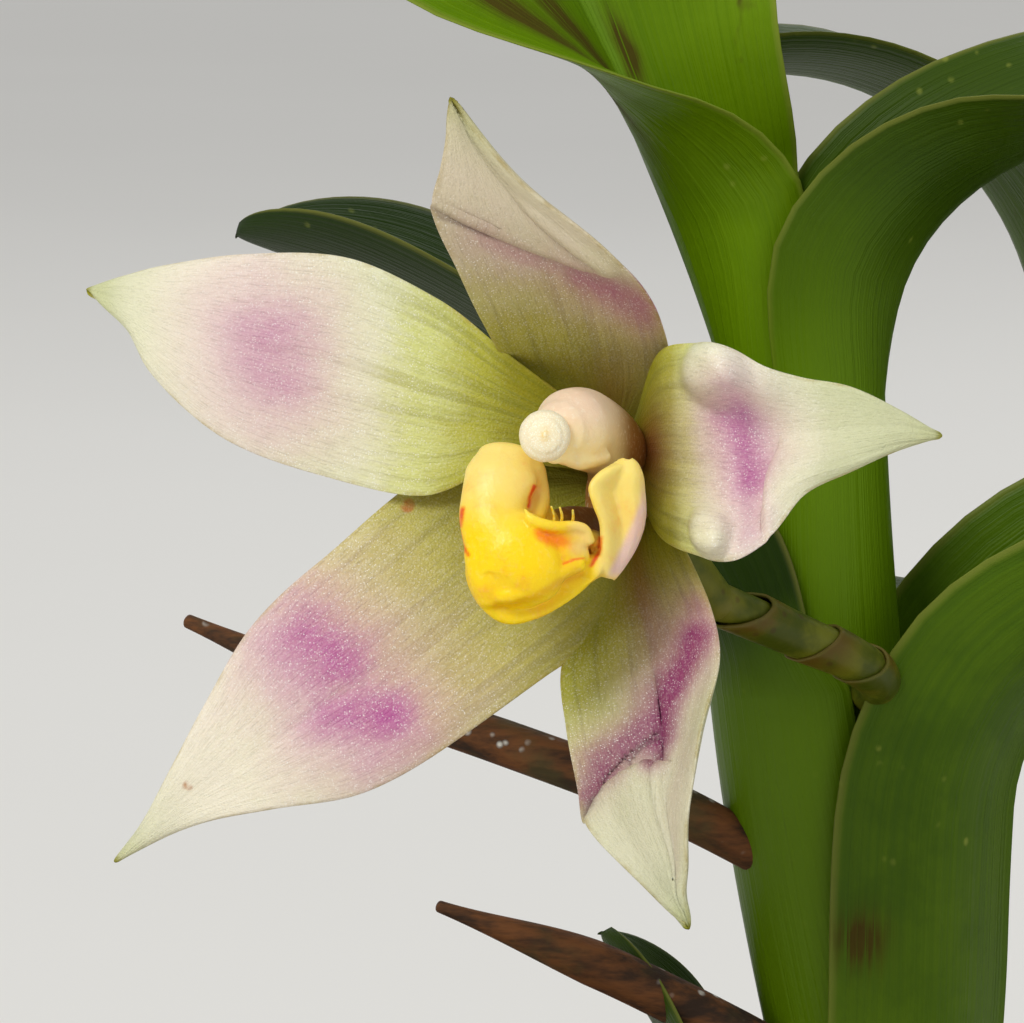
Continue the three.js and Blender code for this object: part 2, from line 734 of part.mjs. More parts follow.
// The column leans out of the flower's throat over the lip, with the anther cap on its end.
const COLUMN_LINE = [
  [1.1, 7.8, 0.2, 1.5],
  [0.8, 4.8, 1.6, 1.75],
  [-0.4, 1.4, 2.25, 1.95],
  [-1.5, -1.1, 2.25, 1.8],
  [-2.0, -2.1, 2.1, 1.3],
];
const CAP = { centre: [-2.5, -3.1, 1.95], radius: 1.15, scale: [1, 0.9, 1.02] };

function column(grow = 0) {
  const body = loft(COLUMN_LINE, 12, 2, vec(0, 0, 1), grow);
  const foot = loft(
    [
      [1.2, 7.6, 1.2, 1.5],
      [1.0, 7.2, -0.6, 1.6],
      [0.6, 6.6, -2.2, 1.3],
    ],
    8,
    1,
    vec(0, 1, 0),
    grow,
  );
  return fuse(body, foot);
}

const antherCap = (grow = 0) => ball(CAP.centre, CAP.radius + grow, CAP.scale);

// The lip: a trough with two side lobes standing up beside the column, a thick middle lobe bent down with a
// thin flange along its right, and a tongue-shaped callus in the mouth.
function lip() {
  const trough = sheet(
    tepalSurface({
      rows: [
        [[0.2, 5.6, -1.3], [0.8, 5.6, -2.8], [2.0, 5.4, -1.6]],
        [[-1.6, 3.2, -1.2], [0.0, 3.0, -3.2], [1.9, 2.6, -1.7]],
        [[-3.2, 0.4, -2.0], [-1.2, 0.0, -4.0], [1.2, -0.4, -2.6]],
        [[-3.8, -1.4, -3.0], [-2.2, -1.9, -4.6], [0.0, -1.8, -3.6]],
      ],
    }),
    evenly(8),
    6,
    1.1,
  );
  const leftLobe = loft(
    [
      [-2.4, 1.6, -1.8, 1.1, 0.7],
      [-4.4, 0.0, -2.6, 1.75, 0.7],
      [-4.6, -0.9, -0.6, 1.75, 0.62],
      [-4.3, -0.8, 0.7, 1.35, 0.6],
      [-4.1, -0.6, 1.6, 0.5, 0.6],
    ],
    8,
    1,
    vec(0.35, 1, 0),
  );
  const rightLobe = loft(
    [
      [0.9, 2.2, -3.0, 0.9, 0.5],
      [0.9, -0.2, -3.4, 1.1, 0.45],
      [0.9, -1.4, -1.7, 1.25, 0.42],
      [0.95, -1.6, -0.4, 1.0, 0.42],
      [1.1, -1.3, 0.6, 0.4, 0.5],
    ],
    8,
    1,
    vec(-0.5, 1, 0.1),
  );
  const middle = loft(
    [
      [-2.0, -0.6, -3.4, 2.2, 0.5],
      [-3.2, -2.0, -3.6, 2.6, 0.62],
      [-3.7, -2.7, -4.7, 2.1, 0.68],
      [-4.2, -2.8, -5.7, 1.2, 0.7],
      [-4.45, -2.7, -6.2, 0.4, 0.8],
    ],
    10,
    1,
    vec(0.1, 1, 0.5),
  );
  const flange = loft(
    [
      [-4.5, -2.6, -6.0, 0.45, 0.5],
      [-3.4, -2.6, -5.7, 0.7, 0.45],
      [-1.9, -2.2, -5.1, 0.75, 0.45],
      [-0.6, -1.8, -4.3, 0.65, 0.45],
      [0.3, -1.4, -3.4, 0.5, 0.5],
    ],
    6,
    1,
    vec(0.3, 1, -0.3),
  );
  const callus = loft(
    [
      [-0.6, 2.6, -2.6, 0.9, 0.5],
      [-1.4, -0.4, -2.4, 1.35, 0.4],
      [-1.8, -2.2, -2.3, 1.5, 0.36],
      [-1.9, -2.9, -2.7, 1.1, 0.4],
    ],
    8,
    1,
    vec(0, 0.3, 1),
  );
  const room = Object.keys(TEPALS).map((name) => tepalSolid(name, FIT));
  return cut(fuse(trough, leftLobe, rightLobe, middle, flange, callus), column(FIT), antherCap(FIT), ...room);
}

const OVARY_LINE = [
  [1.3, 9.2, 0.4, 1.7],
  [2.2, 11.6, -0.9, 1.5],
  [3.8, 13.8, -3.4, 1.15],
  [5.8, 15.4, -5.8, 0.95],
];
const ovary = (grow = 0) => loft(OVARY_LINE, 10, 3, vec(0, 0, 1), grow);

function flower() {
  const made = {
    column: cut(column(), antherCap(FIT)),
    anther_cap: antherCap(),
    lip: lip(),
    ovary: cut(ovary(), column(FIT)),
  };
  // Each petal and sepal gives way to the middle of the flower and to those listed before it.
  const room = [column(FIT), antherCap(FIT), ovary(FIT)];
  for (const name of Object.keys(TEPALS)) {
    made[name] = cut(tepalSolid(name), ...room);
    room.push(tepalSolid(name, FIT));
  }
  return made;
}

// Colours

const LOOK = {
  clay: [0xb8653f, 0.85],
  bark: [0x5a3a24, 0.95],
  rhizome: [0x8d8a62, 0.8],
  bulb: [0x6f8a2c, 0.5],
  leaf: [0x5f8f14, 0.45],
  dry: [0x8a6a3c, 0.9],
  stalk: [0x77822e, 0.55],
  bract: [0x7d7a30, 0.6],
  tepal: [0xe6dfd0, 0.5],
  lip: [0xf3c41c, 0.45],
  column: [0xe9d2a8, 0.45],
};

function piece(name, manifold, look) {
  const [colour, roughness] = LOOK[look];
  const mesh = new THREE.Mesh(
    geometryOf(manifold),
    new THREE.MeshStandardMaterial({ color: colour, roughness, metalness: 0 }),
  );
  mesh.name = name;
  return mesh;
}

// Assembly

const plant = new THREE.Group();
const flowerHead = new THREE.Group();
flowerHead.position.set(...FLOWER.place);
flowerHead.rotation.x = -deg(FLOWER.nod);
plant.add(flowerHead);
flowerHead.updateMatrixWorld(true);
const fromFlower = ([x, y, z]) => flowerHead.localToWorld(vec(x, y, z));

const headLook = { column: "column", anther_cap: "column", lip: "lip", ovary: "stalk" };
for (const [name, made] of Object.entries(flower()))
  flowerHead.add(piece(name, made, headLook[name] ?? "tepal"));

// The flower stalk comes up inside the low leaf's fold and bends over in front of the shoot to the ovary, in
// three bracts that end in open mouths.
const ovaryFoot = fromFlower(OVARY_LINE[3].slice(0, 3));
const stalkWay = fromFlower(OVARY_LINE[2].slice(0, 3)).sub(ovaryFoot).normalize();
const stalkEnd = ovaryFoot.clone().addScaledVector(stalkWay, FIT);
const STALK_LINE = [
  [5.4, -1.4, 124.4],
  [5.7, -3.8, 125.6],
  [4.4, -5.6, 126.8],
  [1.6, -6.9, 128.2],
  stalkEnd.toArray(),
];
const BRACTS = [
  [0.02, 0.46],
  [0.3, 0.68],
  [0.56, 0.93],
];

const placedOvary = (grow) =>
  solidOf(geometryOf(ovary(grow)).applyMatrix4(flowerHead.matrixWorld));

function stalk() {
  const line = new THREE.CatmullRomCurve3(STALK_LINE.map((p) => vec(...p)), false, "centripetal");
  const part = (from, to, foot, mouth) =>
    loft(
      [0, 1, 2, 3].map((i) => [...line.getPoint(mix(from, to, i / 3)).toArray(), mix(foot, mouth, i / 3)]),
      8,
      1,
      vec(0.3, 1, 0),
    );
  return fuse(part(0, 1, 0.9, 0.95), ...BRACTS.map(([from, to]) => part(from, to, 1.0, 1.4)));
}

// Two spent flower stalks from the left side of the shoot, dry and pointed.
const SPENT = {
  spent_stalk_upper: [
    [1.5, 0.5, 115.5, 1.1],
    [-4, 0.8, 118.4, 1.2],
    [-12, 2, 121.3, 1.15],
    [-20, 3.4, 123.8, 1.0],
    [-28, 5, 127, 0.35],
  ],
  spent_stalk_lower: [
    [4, 0, 104.5, 1.1],
    [-1, -0.5, 107.4, 1.2],
    [-8, -1, 111, 1.15],
    [-15.5, -1.4, 113.9, 0.3],
  ],
};
const spent = (name) => loft(SPENT[name], 8, 2, vec(0.3, 1, 0));

const stems = { stem_main: MAIN, stem_older: OLDER, stem_young: YOUNG };
const runner = rhizome(FIT);
for (const [name, shoot] of Object.entries(stems)) plant.add(piece(name, cut(stem(shoot), runner), "bulb"));
for (const [name, [shoot, leaf]] of Object.entries(LEAVES))
  plant.add(piece(name, cut(leafSolid(shoot, leaf), runner), name.endsWith("dry") ? "dry" : "leaf"));
const mainLeaves = Object.entries(LEAVES)
  .filter(([name]) => name.startsWith("leaf_main"))
  .map(([, [shoot, leaf]]) => leafSolid(shoot, leaf, FIT));
plant.add(piece("flower_stalk", cut(stalk(), ...mainLeaves, placedOvary(FIT)), "stalk"));
for (const name of Object.keys(SPENT)) plant.add(piece(name, cut(spent(name), ...mainLeaves), "dry"));

plant.add(piece("rhizome", rhizome(), "rhizome"));
plant.add(piece("pot", pot(), "clay"));
plant.add(piece("bark_mix", barkMix(runner, ...Object.values(stems).map(socket)), "bark"));

export default plant;
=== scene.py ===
"""A potted Maxillaria carinulata in flower: every piece of the plant, its bark and its pot, with its finish.

Shapes are worked out in millimetres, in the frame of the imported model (Z up, the flower faces -Y), and are
put into Blender in metres.
"""
import math

import bmesh
import bpy
import numpy as np
from bpy.props import FloatProperty, FloatVectorProperty, IntProperty, PointerProperty
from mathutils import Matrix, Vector


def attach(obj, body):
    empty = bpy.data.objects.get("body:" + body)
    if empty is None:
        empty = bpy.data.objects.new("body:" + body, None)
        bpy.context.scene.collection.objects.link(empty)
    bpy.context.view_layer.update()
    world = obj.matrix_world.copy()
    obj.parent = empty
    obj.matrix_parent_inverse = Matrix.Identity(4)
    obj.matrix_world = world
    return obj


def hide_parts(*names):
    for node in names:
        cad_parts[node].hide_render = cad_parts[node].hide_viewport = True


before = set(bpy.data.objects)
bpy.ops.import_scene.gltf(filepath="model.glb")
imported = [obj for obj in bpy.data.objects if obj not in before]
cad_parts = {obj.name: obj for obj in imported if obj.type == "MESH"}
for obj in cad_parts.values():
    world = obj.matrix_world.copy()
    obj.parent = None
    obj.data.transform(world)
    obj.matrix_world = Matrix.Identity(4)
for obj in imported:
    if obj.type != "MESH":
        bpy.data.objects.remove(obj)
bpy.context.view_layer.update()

bl_info = {
    "name": "Potted Maxillaria carinulata",
    "version": (1, 0, 0),
    "blender": (4, 5, 0),
    "location": "3D View > Sidebar > Orchid",
    "description": "Makes the pieces of a potted orchid in flower and their finishes",
    "category": "Add Mesh",
}

MM = 0.001

# Arithmetic on whole arrays


def unit(v):
    """Vectors divided by their own lengths."""
    return v / np.maximum(np.linalg.norm(v, axis=-1, keepdims=True), 1e-12)


def mix(a, b, t):
    """Straight from a to b as t goes from 0 to 1."""
    return a + (b - a) * t


def ease(x, low, high):
    """0 up to low and 1 from high, with a smooth step between."""
    t = np.clip((x - low) / (high - low), 0, 1)
    return t * t * (3 - 2 * t)


def listed(pairs, x):
    """Straight between given (place, value) pairs."""
    places, values = zip(*pairs)
    return np.interp(x, places, values)


def spline(points, t):
    """The smooth curve through the points, at t from 0 to 1, each span an equal share of t.

    Each span is the cubic whose ends have the slopes of the curve through four neighbouring points, spaced by
    the square roots of their distances.
    """
    p = np.asarray(points, float)
    held = np.vstack([2 * p[0] - p[1], p, 2 * p[-1] - p[-2]])
    at = np.clip(np.asarray(t, float), 0, 1) * (len(p) - 1)
    i = np.minimum(at.astype(int), len(p) - 2)
    w = (at - i)[..., None]
    a, b, c, d = (held[i + k] for k in range(4))

    def gap(x, y):
        return np.maximum(np.linalg.norm(x - y, axis=-1, keepdims=True) ** 0.5, 1e-6)

    d0, d1, d2 = gap(a, b), gap(b, c), gap(c, d)
    start = ((b - a) / d0 - (c - a) / (d0 + d1) + (c - b) / d1) * d1
    stop = ((c - b) / d1 - (d - b) / (d1 + d2) + (d - c) / d2) * d1
    return b + start * w + (3 * (c - b) - 2 * start - stop) * w**2 + (2 * (b - c) + start + stop) * w**3


def ripple(x, y, seed, waves=5):
    """A smooth uneven relief from -1 to 1: the mean of a few seeded sine waves in different directions."""
    random = np.random.default_rng(seed)
    total = 0
    for _ in range(waves):
        turn = random.uniform(0, 2 * math.pi)
        pitch = random.uniform(0.6, 1.8)
        total = total + np.sin(pitch * (x * math.cos(turn) + y * math.sin(turn)) + random.uniform(0, 6.3))
    return total / waves


# Meshes


class Form:
    """Points, faces and per-point values of a piece that is being put together, in millimetres."""

    def __init__(self):
        self.points, self.faces, self.where, self.marks = [], [], [], {}
        self.count = 0

    def add(self, points, faces, where=None, **marks):
        """Adds a body: points, faces, and for each point its place (along, across) and other marks."""
        points = np.asarray(points, float).reshape(-1, 3)
        if where is None:
            where = np.zeros((len(points), 2))
        self.points.append(points)
        self.faces.extend([[int(k) + self.count for k in face] for face in faces])
        self.where.append(np.asarray(where, float).reshape(-1, 2))
        for name in set(self.marks) | set(marks):
            known = self.marks.setdefault(name, [np.zeros(self.count)] if self.count else [])
            known.append(np.broadcast_to(np.asarray(marks.get(name, 0.0), float).ravel(), len(points)))
        self.count += len(points)

    def piece(self, name, outward=True):
        """The mesh object, with the places as the UV map "form" and each mark as a point attribute."""
        mesh = bpy.data.meshes.new(name)
        points = np.concatenate(self.points)
        mesh.from_pydata((points * MM).tolist(), [], self.faces)
        mesh.update()
        if outward:
            made = bmesh.new()
            made.from_mesh(mesh)
            bmesh.ops.recalc_face_normals(made, faces=made.faces)
            made.to_mesh(mesh)
            made.free()
        corners = np.empty(len(mesh.loops), int)
        mesh.loops.foreach_get("vertex_index", corners)
        where = np.concatenate(self.where)
        mesh.uv_layers.new(name="form").data.foreach_set("uv", where[corners].astype(np.float32).ravel())
        add_marks(mesh, **{mark: np.concatenate(values) for mark, values in self.marks.items()})
        smooth_shaded(mesh)
        obj = bpy.data.objects.new(name, mesh)
        bpy.context.scene.collection.objects.link(obj)
        return obj


def add_marks(mesh, **marks):
    """Gives each point of a mesh its numbers."""
    for name, values in marks.items():
        layer = mesh.attributes.new(name, "FLOAT", "POINT")
        layer.data.foreach_set("value", values.astype(np.float32))


def smooth_shaded(mesh):
    """Shades every face of a mesh smooth."""
    mesh.polygons.foreach_set("use_smooth", np.ones(len(mesh.polygons), bool))


def settled(obj):
    """Puts what a piece's modifiers make of its mesh in the mesh's place, shaded smooth."""
    graph = bpy.context.evaluated_depsgraph_get()
    made = bpy.data.meshes.new_from_object(obj.evaluated_get(graph))
    obj.modifiers.clear()
    old = obj.data
    obj.data = made
    smooth_shaded(made)
    bpy.data.meshes.remove(old)


def ring_faces(rings, sides):
    """Quads between neighbouring closed rings of points."""
    i, j = np.meshgrid(np.arange(rings - 1), np.arange(sides), indexing="ij")
    a = i * sides + j
    b = i * sides + (j + 1) % sides
    return np.stack([a, b, b + sides, a + sides], -1).reshape(-1, 4).tolist()


def closed_rings(rings, sides):
    """The quads between the rings, and a face over the first ring and over the last."""
    count = rings * sides
    ends = [list(range(sides)), list(range(count - sides, count))[::-1]]
    return ring_faces(rings, sides) + ends


def tube_grid(stations, rings, sides, flat, cap=4, bulge=0.6):
    """Ellipses carried along the smooth line through the stations (x, y, z, radius, flatness).

    Each ring is square to the line, radius wide, and radius times flatness deep towards flat. Both ends close
    in rounded caps: a few more rings whose size falls as the cosine while they move out as the sine.
    """
    rows = [list(s) + [1.0] * (5 - len(s)) for s in stations]
    line = np.array([r[:3] for r in rows], float)
    spans = len(rows) - 1
    t = np.linspace(0, 1, rings)
    turn = np.radians(np.linspace(90, 0, cap, endpoint=False))
    t = np.concatenate([np.zeros(cap), t, np.ones(cap)])
    shrink = np.concatenate([np.cos(turn), np.ones(rings), np.cos(turn[::-1])])
    shrink = np.maximum(shrink, 0.02)
    shift = np.concatenate([-np.sin(turn), np.zeros(rings), np.sin(turn[::-1])])
    at = t * spans
    i = np.minimum(at.astype(int), spans - 1)
    share = ease(at - i, 0, 1) * 0.5 + (at - i) * 0.5
    size = np.array([r[3:5] for r in rows], float)
    radius, squash = mix(size[i], size[i + 1], share[:, None]).T
    tangent = unit(spline(line, np.minimum(t + 1e-3, 1)) - spline(line, np.maximum(t - 1e-3, 0)))
    centre = spline(line, t) + tangent * (shift * radius * bulge * np.minimum(squash, 1))[:, None]
    flat = np.asarray(flat, float)
    depth = unit(flat - tangent * (tangent @ flat)[:, None])
    width = np.cross(tangent, depth)
    angle = 2 * np.pi * np.arange(sides) / sides
    r = (radius * shrink)[:, None, None]
    grid = centre[:, None] + r * (
        width[:, None] * np.cos(angle)[None, :, None]
        + depth[:, None] * (squash[:, None] * np.sin(angle)[None])[:, :, None]
    )
    return grid, t


def add_tube(form, stations, rings, sides, flat=(0, 1, 0), **marks):
    """A closed round-ended tube added to a form, with the share of its length as the first of its places."""
    grid, t = tube_grid(stations, rings, sides, flat)
    around = np.abs(np.linspace(-1, 1, sides, endpoint=False))
    where = np.stack(np.broadcast_arrays(t[:, None], around[None]), -1)
    form.add(grid, closed_rings(len(grid), sides), where, **marks)


def add_sheet(form, surface, half, u, v, **marks):
    """A closed sheet: the surface points moved out by half the thickness both ways along its normals.

    surface is (n, m, 3) for the n values u and m values v, and half is (n, m) and falls to nothing at the two
    long edges, where the faces share their points. The two ends are closed by strips.
    """
    along = np.gradient(surface, axis=0)
    sideways = np.gradient(surface, axis=1)
    normal = unit(np.cross(along, sideways))
    front = surface + normal * half[..., None]
    back = surface - normal * half[..., None]
    n, m = half.shape
    ring = np.concatenate([front, back[:, -2:0:-1]], axis=1)
    cross = np.concatenate([v, v[-2:0:-1]])
    where = np.stack(np.broadcast_arrays(u[:, None], cross[None] * 0.5 + 0.5), -1)
    sides = 2 * m - 2
    faces = ring_faces(n, sides)
    for row in (0, n - 1):
        base = row * sides
        for j in range(m - 1):
            strip = [base + j, base + j + 1, base + (sides - j - 1) % sides, base + (sides - j) % sides]
            strip = list(dict.fromkeys(strip))
            faces.append(strip if row else strip[::-1])
    form.add(ring, faces, where, **marks)


def dressed(obj, nodes, finish):
    """Gives a piece its finish, and says what it rides on and what it replaces."""
    obj.data.materials.append(finish)
    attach(obj, "root")
    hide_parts(*nodes)


# Finishes


def srgb(red, green, blue):
    """A screen colour, 0 to 255, as the linear values that shaders take."""
    parts = [c / 255 for c in (red, green, blue)]
    return tuple(c / 12.92 if c <= 0.04045 else ((c + 0.055) / 1.055) ** 2.4 for c in parts)


class Signal:
    """A socket of a finish's nodes, on which + - * / and ** add Math nodes."""

    def __init__(self, finish, socket):
        self.finish, self.socket = finish, socket

    def __add__(self, other):
        return self.finish.math("ADD", self, other)

    def __radd__(self, other):
        return self.finish.math("ADD", other, self)

    def __sub__(self, other):
        return self.finish.math("SUBTRACT", self, other)

    def __rsub__(self, other):
        return self.finish.math("SUBTRACT", other, self)

    def __mul__(self, other):
        return self.finish.math("MULTIPLY", self, other)

    def __rmul__(self, other):
        return self.finish.math("MULTIPLY", other, self)

    def __truediv__(self, other):
        return self.finish.math("DIVIDE", self, other)

    def __pow__(self, other):
        return self.finish.math("POWER", self, other)


class Finish:
    """A material with its Principled shader, and one way to add any other node."""

    def __init__(self, name, **constants):
        self.material = bpy.data.materials.new(name)
        self.material.use_nodes = True
        self.tree = self.material.node_tree
        self.shader = self.tree.nodes["Principled BSDF"]
        for key, value in constants.items():
            self.shader.inputs[key.replace("_", " ").title().replace("Ior", "IOR")].default_value = value

    def node(self, kind, sockets=(), out=0, stops=None, **settings):
        """Adds a node. Its settings and ramp stops come first, and then its sockets' values or links."""
        node = self.tree.nodes.new(kind)
        for key, value in settings.items():
            setattr(node, key, value)
        if stops:
            ramp = node.color_ramp.elements
            while len(ramp) < len(stops):
                ramp.new(0.5)
            for element, (place, colour) in zip(ramp, stops):
                element.position = place
                element.color = (*colour, 1) if len(colour) == 3 else colour
        for key, value in dict(sockets).items():
            self.feed(node.inputs[key], value)
        return Signal(self, node.outputs[out])

    def feed(self, socket, value):
        """Links a signal to a socket, or sets the socket's value, with a colour's alpha added."""
        if isinstance(value, Signal):
            self.tree.links.new(value.socket, socket)
        elif hasattr(socket.default_value, "__len__") and len(value) == 3 and len(socket.default_value) == 4:
            socket.default_value = (*value, 1)
        else:
            socket.default_value = value

    def math(self, operation, *values, clamp=False):
        """A Math node of signals and numbers."""
        return self.node("ShaderNodeMath", enumerate(values), operation=operation, use_clamp=clamp)

    def object_place(self):
        """The place on the piece in metres of its own object."""
        return self.node("ShaderNodeTexCoord", out=3)

    def form_place(self):
        """How far along and across the piece a point lies, each from 0 to 1, and the two as one vector."""
        place = self.node("ShaderNodeUVMap", uv_map="form")
        split = self.node("ShaderNodeSeparateXYZ", {0: place})
        return split, Signal(self, split.socket.node.outputs[1]), place

    def mark(self, name):
        """A number that the piece's points carry."""
        return self.node("ShaderNodeAttribute", out=2, attribute_name=name)

    def stretched(self, vector, scale):
        """Places multiplied by a scale of their own in each direction."""
        return self.node("ShaderNodeMapping", {"Vector": vector, "Scale": scale})

    def noise(self, vector, scale, detail=3.0, roughness=0.5):
        """Soft clouds of a few sizes, from 0 to 1."""
        sockets = {"Vector": vector, "Scale": scale, "Detail": detail, "Roughness": roughness}
        return self.node("ShaderNodeTexNoise", sockets)

    def cells(self, vector, scale, out=0):
        """Cells round scattered points: the distance to the nearest, or with out=1 the cell's colour."""
        return self.node("ShaderNodeTexVoronoi", {"Vector": vector, "Scale": scale}, out=out)

    def ramp(self, factor, stops):
        """A colour that eases from stop to stop."""
        made = self.node("ShaderNodeValToRGB", {0: factor}, stops=stops)
        made.socket.node.color_ramp.interpolation = "EASE"
        return made

    def step(self, value, low, high):
        """0 up to low and 1 from high, with a smooth step between. It falls where low is above high."""
        sockets = {"Value": value, "From Min": low, "From Max": high}
        return self.node("ShaderNodeMapRange", sockets, interpolation_type="SMOOTHSTEP")

    def blend(self, factor, first, second, how="MIX"):
        """A colour mix."""
        sockets = {0: factor, 6: first, 7: second}
        return self.node("ShaderNodeMix", sockets, out=2, data_type="RGBA", blend_type=how)

    def spot(self, u, v, at, size, slant=0.0):
        """A soft round mark that falls as exp(-(distance over size) squared), leaning by slant along u."""
        across = v - at[1]
        along = u - at[0] - across * slant
        far = (along / size[0]) ** 2 + (across / size[1]) ** 2
        return self.math("POWER", math.exp(-1), far)

    def relief(self, height, distance, strength=1.0, under=None):
        """A bump of the given depth in millimetres."""
        sockets = {"Height": height, "Distance": distance * MM, "Strength": strength}
        if under:
            sockets["Normal"] = under
        return self.node("ShaderNodeBump", sockets)

    def done(self, **links):
        """Links the shader's varying sockets, such as base_color, and gives back the material."""
        for key, value in links.items():
            self.feed(self.shader.inputs[key.replace("_", " ").title()], value)
        return self.material


# Sizes and colours that a user would change


def colour_setting(name, description, *screen):
    """A colour that a user can change, with its default as a screen colour."""
    return FloatVectorProperty(name=name, description=description, default=srgb(*screen), subtype="COLOR")


def length_setting(name, description, millimetres, least=0.0):
    """A length that a user can change, with its default and its least value in millimetres."""
    return FloatProperty(
        name=name, description=description, default=millimetres * MM, unit="LENGTH", min=least * MM
    )


def power_setting(name, description, default):
    """The power of a light that a user can change."""
    return FloatProperty(name=name, description=description, default=default, subtype="POWER")


class PotSettings(bpy.types.PropertyGroup):
    wall: length_setting("Wall", "Thickness of the pot's wall", 4, least=2)
    clay: colour_setting("Clay", "Colour of the fired clay", 188, 104, 66)


class BarkSettings(bpy.types.PropertyGroup):
    chips: IntProperty(name="Chips", description="How many chips lie on the bark", default=210, min=0)
    length: length_setting("Chip length", "Length of a middling chip", 12.5)
    colour: colour_setting("Bark", "Colour of the outer bark", 92, 60, 40)


class LeafSettings(bpy.types.PropertyGroup):
    thickness: length_setting("Thickness", "Thickness of a leaf blade", 0.7)
    young: colour_setting("Young green", "Colour of the newest leaf", 92, 127, 1)
    old: colour_setting("Old green", "Colour of the oldest leaves", 27, 48, 1)


class FlowerSettings(bpy.types.PropertyGroup):
    thickness: length_setting("Thickness", "Thickness of a petal or sepal", 0.7)
    pale: colour_setting("Pale", "Colour of a petal's middle", 234, 228, 204)
    olive: colour_setting("Olive", "Colour of a petal's foot", 150, 146, 6)
    mauve: colour_setting("Mauve", "Colour of a petal's blotch", 180, 76, 150)
    yellow: colour_setting("Yellow", "Colour of the lip", 255, 214, 0)


class StageSettings(bpy.types.PropertyGroup):
    floor: colour_setting("Floor", "Colour of the floor", 236, 235, 231)
    horizon: FloatProperty(name="Horizon", description="Brightness of the sky at the horizon", default=0.2)
    overhead: FloatProperty(name="Overhead", description="Brightness of the sky overhead", default=0.85)
    key: power_setting("Key light", "Power of the main light", 9.5)
    fill: power_setting("Fill light", "Power of the fill light", 1.8)


class OrchidSettings(bpy.types.PropertyGroup):
    pot: PointerProperty(type=PotSettings, name="Pot", description="The clay pot")
    bark: PointerProperty(type=BarkSettings, name="Bark", description="The bark in the pot")
    leaf: PointerProperty(type=LeafSettings, name="Leaf", description="The leaves")
    flower: PointerProperty(type=FlowerSettings, name="Flower", description="The flower")
    stage: PointerProperty(type=StageSettings, name="Stage", description="The floor and the lights")


# Pot

POT_HEIGHT = 82.0
POT_BASE = 33.0
POT_RIM = 48.0
POT_FLOOR = 5.0
RIM_BAND = 19.0
RIM_STEP = 2.6
POT_SIDES = 160
DRAIN_COUNT = 4
DRAIN_RADIUS = 4.0
DRAIN_RING = 17.0
DRAIN_REACH = 6  # how far a drain's cutter runs out beyond the floor on both sides
DRAIN_SIDES = 40
PROFILE_STEP = 2.2  # the longest step along the pot's profile
AXIS_GAP = 0.01
SHARP_ANGLE = math.radians(40)


def pot_outside(z):
    """The plain taper of the wall's outer side."""
    return mix(POT_BASE, POT_RIM - 1, z / POT_HEIGHT)


def arc_corner(before, corner, after, radius, steps=5):
    """A corner of a profile rounded by a quadratic curve that starts and ends at the radius from it."""
    before, corner, after = (np.array(p, float) for p in (before, corner, after))
    start = corner + unit(before - corner) * radius
    stop = corner + unit(after - corner) * radius
    t = np.linspace(0, 1, steps)[:, None]
    return (1 - t) ** 2 * start + 2 * t * (1 - t) * corner + t**2 * stop


def pot_profile(wall):
    """The pot's half section from the middle of the underside round to the middle of the floor."""
    foot = POT_HEIGHT - RIM_BAND
    under = pot_outside(foot) - RIM_STEP
    inner_top = pot_outside(POT_HEIGHT) - wall
    inner_floor = pot_outside(POT_FLOOR) - wall
    corners = [
        ((0, 0), 0),
        ((POT_BASE, 0), 1.2),
        ((under, foot - 0.4), 1.0),
        ((POT_RIM - 2, foot), 1.1),
        ((POT_RIM, POT_HEIGHT), 1.6),
        ((inner_top + 0.4, POT_HEIGHT), 1.5),
        ((inner_floor, POT_FLOOR), 2.5),
        ((0, POT_FLOOR), 0),
    ]
    rounded = [np.array([corners[0][0]], float)]
    for before, (corner, radius), after in zip(corners, corners[1:], corners[2:]):
        rounded.append(arc_corner(before[0], corner, after[0], radius))
    rounded.append(np.array([corners[-1][0]], float))
    return np.concatenate(rounded)


def finer(profile, longest):
    """A profile with points added so that no step is longer than the limit."""
    out = [profile[:1]]
    for a, b in zip(profile[:-1], profile[1:]):
        steps = max(int(np.linalg.norm(b - a) / longest), 1)
        out.append(a + (b - a) * (np.arange(1, steps + 1) / steps)[:, None])
    return np.concatenate(out)


def turned(profile, sides):
    """A profile of (radius, height) turned about Z: its grid of points and its faces.

    A radius of nothing is held a little open, and the two small rings are closed by a face each.
    """
    angle = 2 * np.pi * np.arange(sides) / sides
    r, z = profile.T
    radius = np.maximum(r, AXIS_GAP)[:, None]
    grid = np.stack(np.broadcast_arrays(radius * np.cos(angle), radius * np.sin(angle), z[:, None]), -1)
    return grid, closed_rings(len(profile), sides)


def cut_by(obj, cutters):
    """Takes the cutters away from a piece, and removes them."""
    for cutter in cutters:
        hole = obj.modifiers.new("drain", "BOOLEAN")
        hole.object = cutter
        hole.solver = "EXACT"
    settled(obj)
    for cutter in cutters:
        bpy.data.objects.remove(cutter)


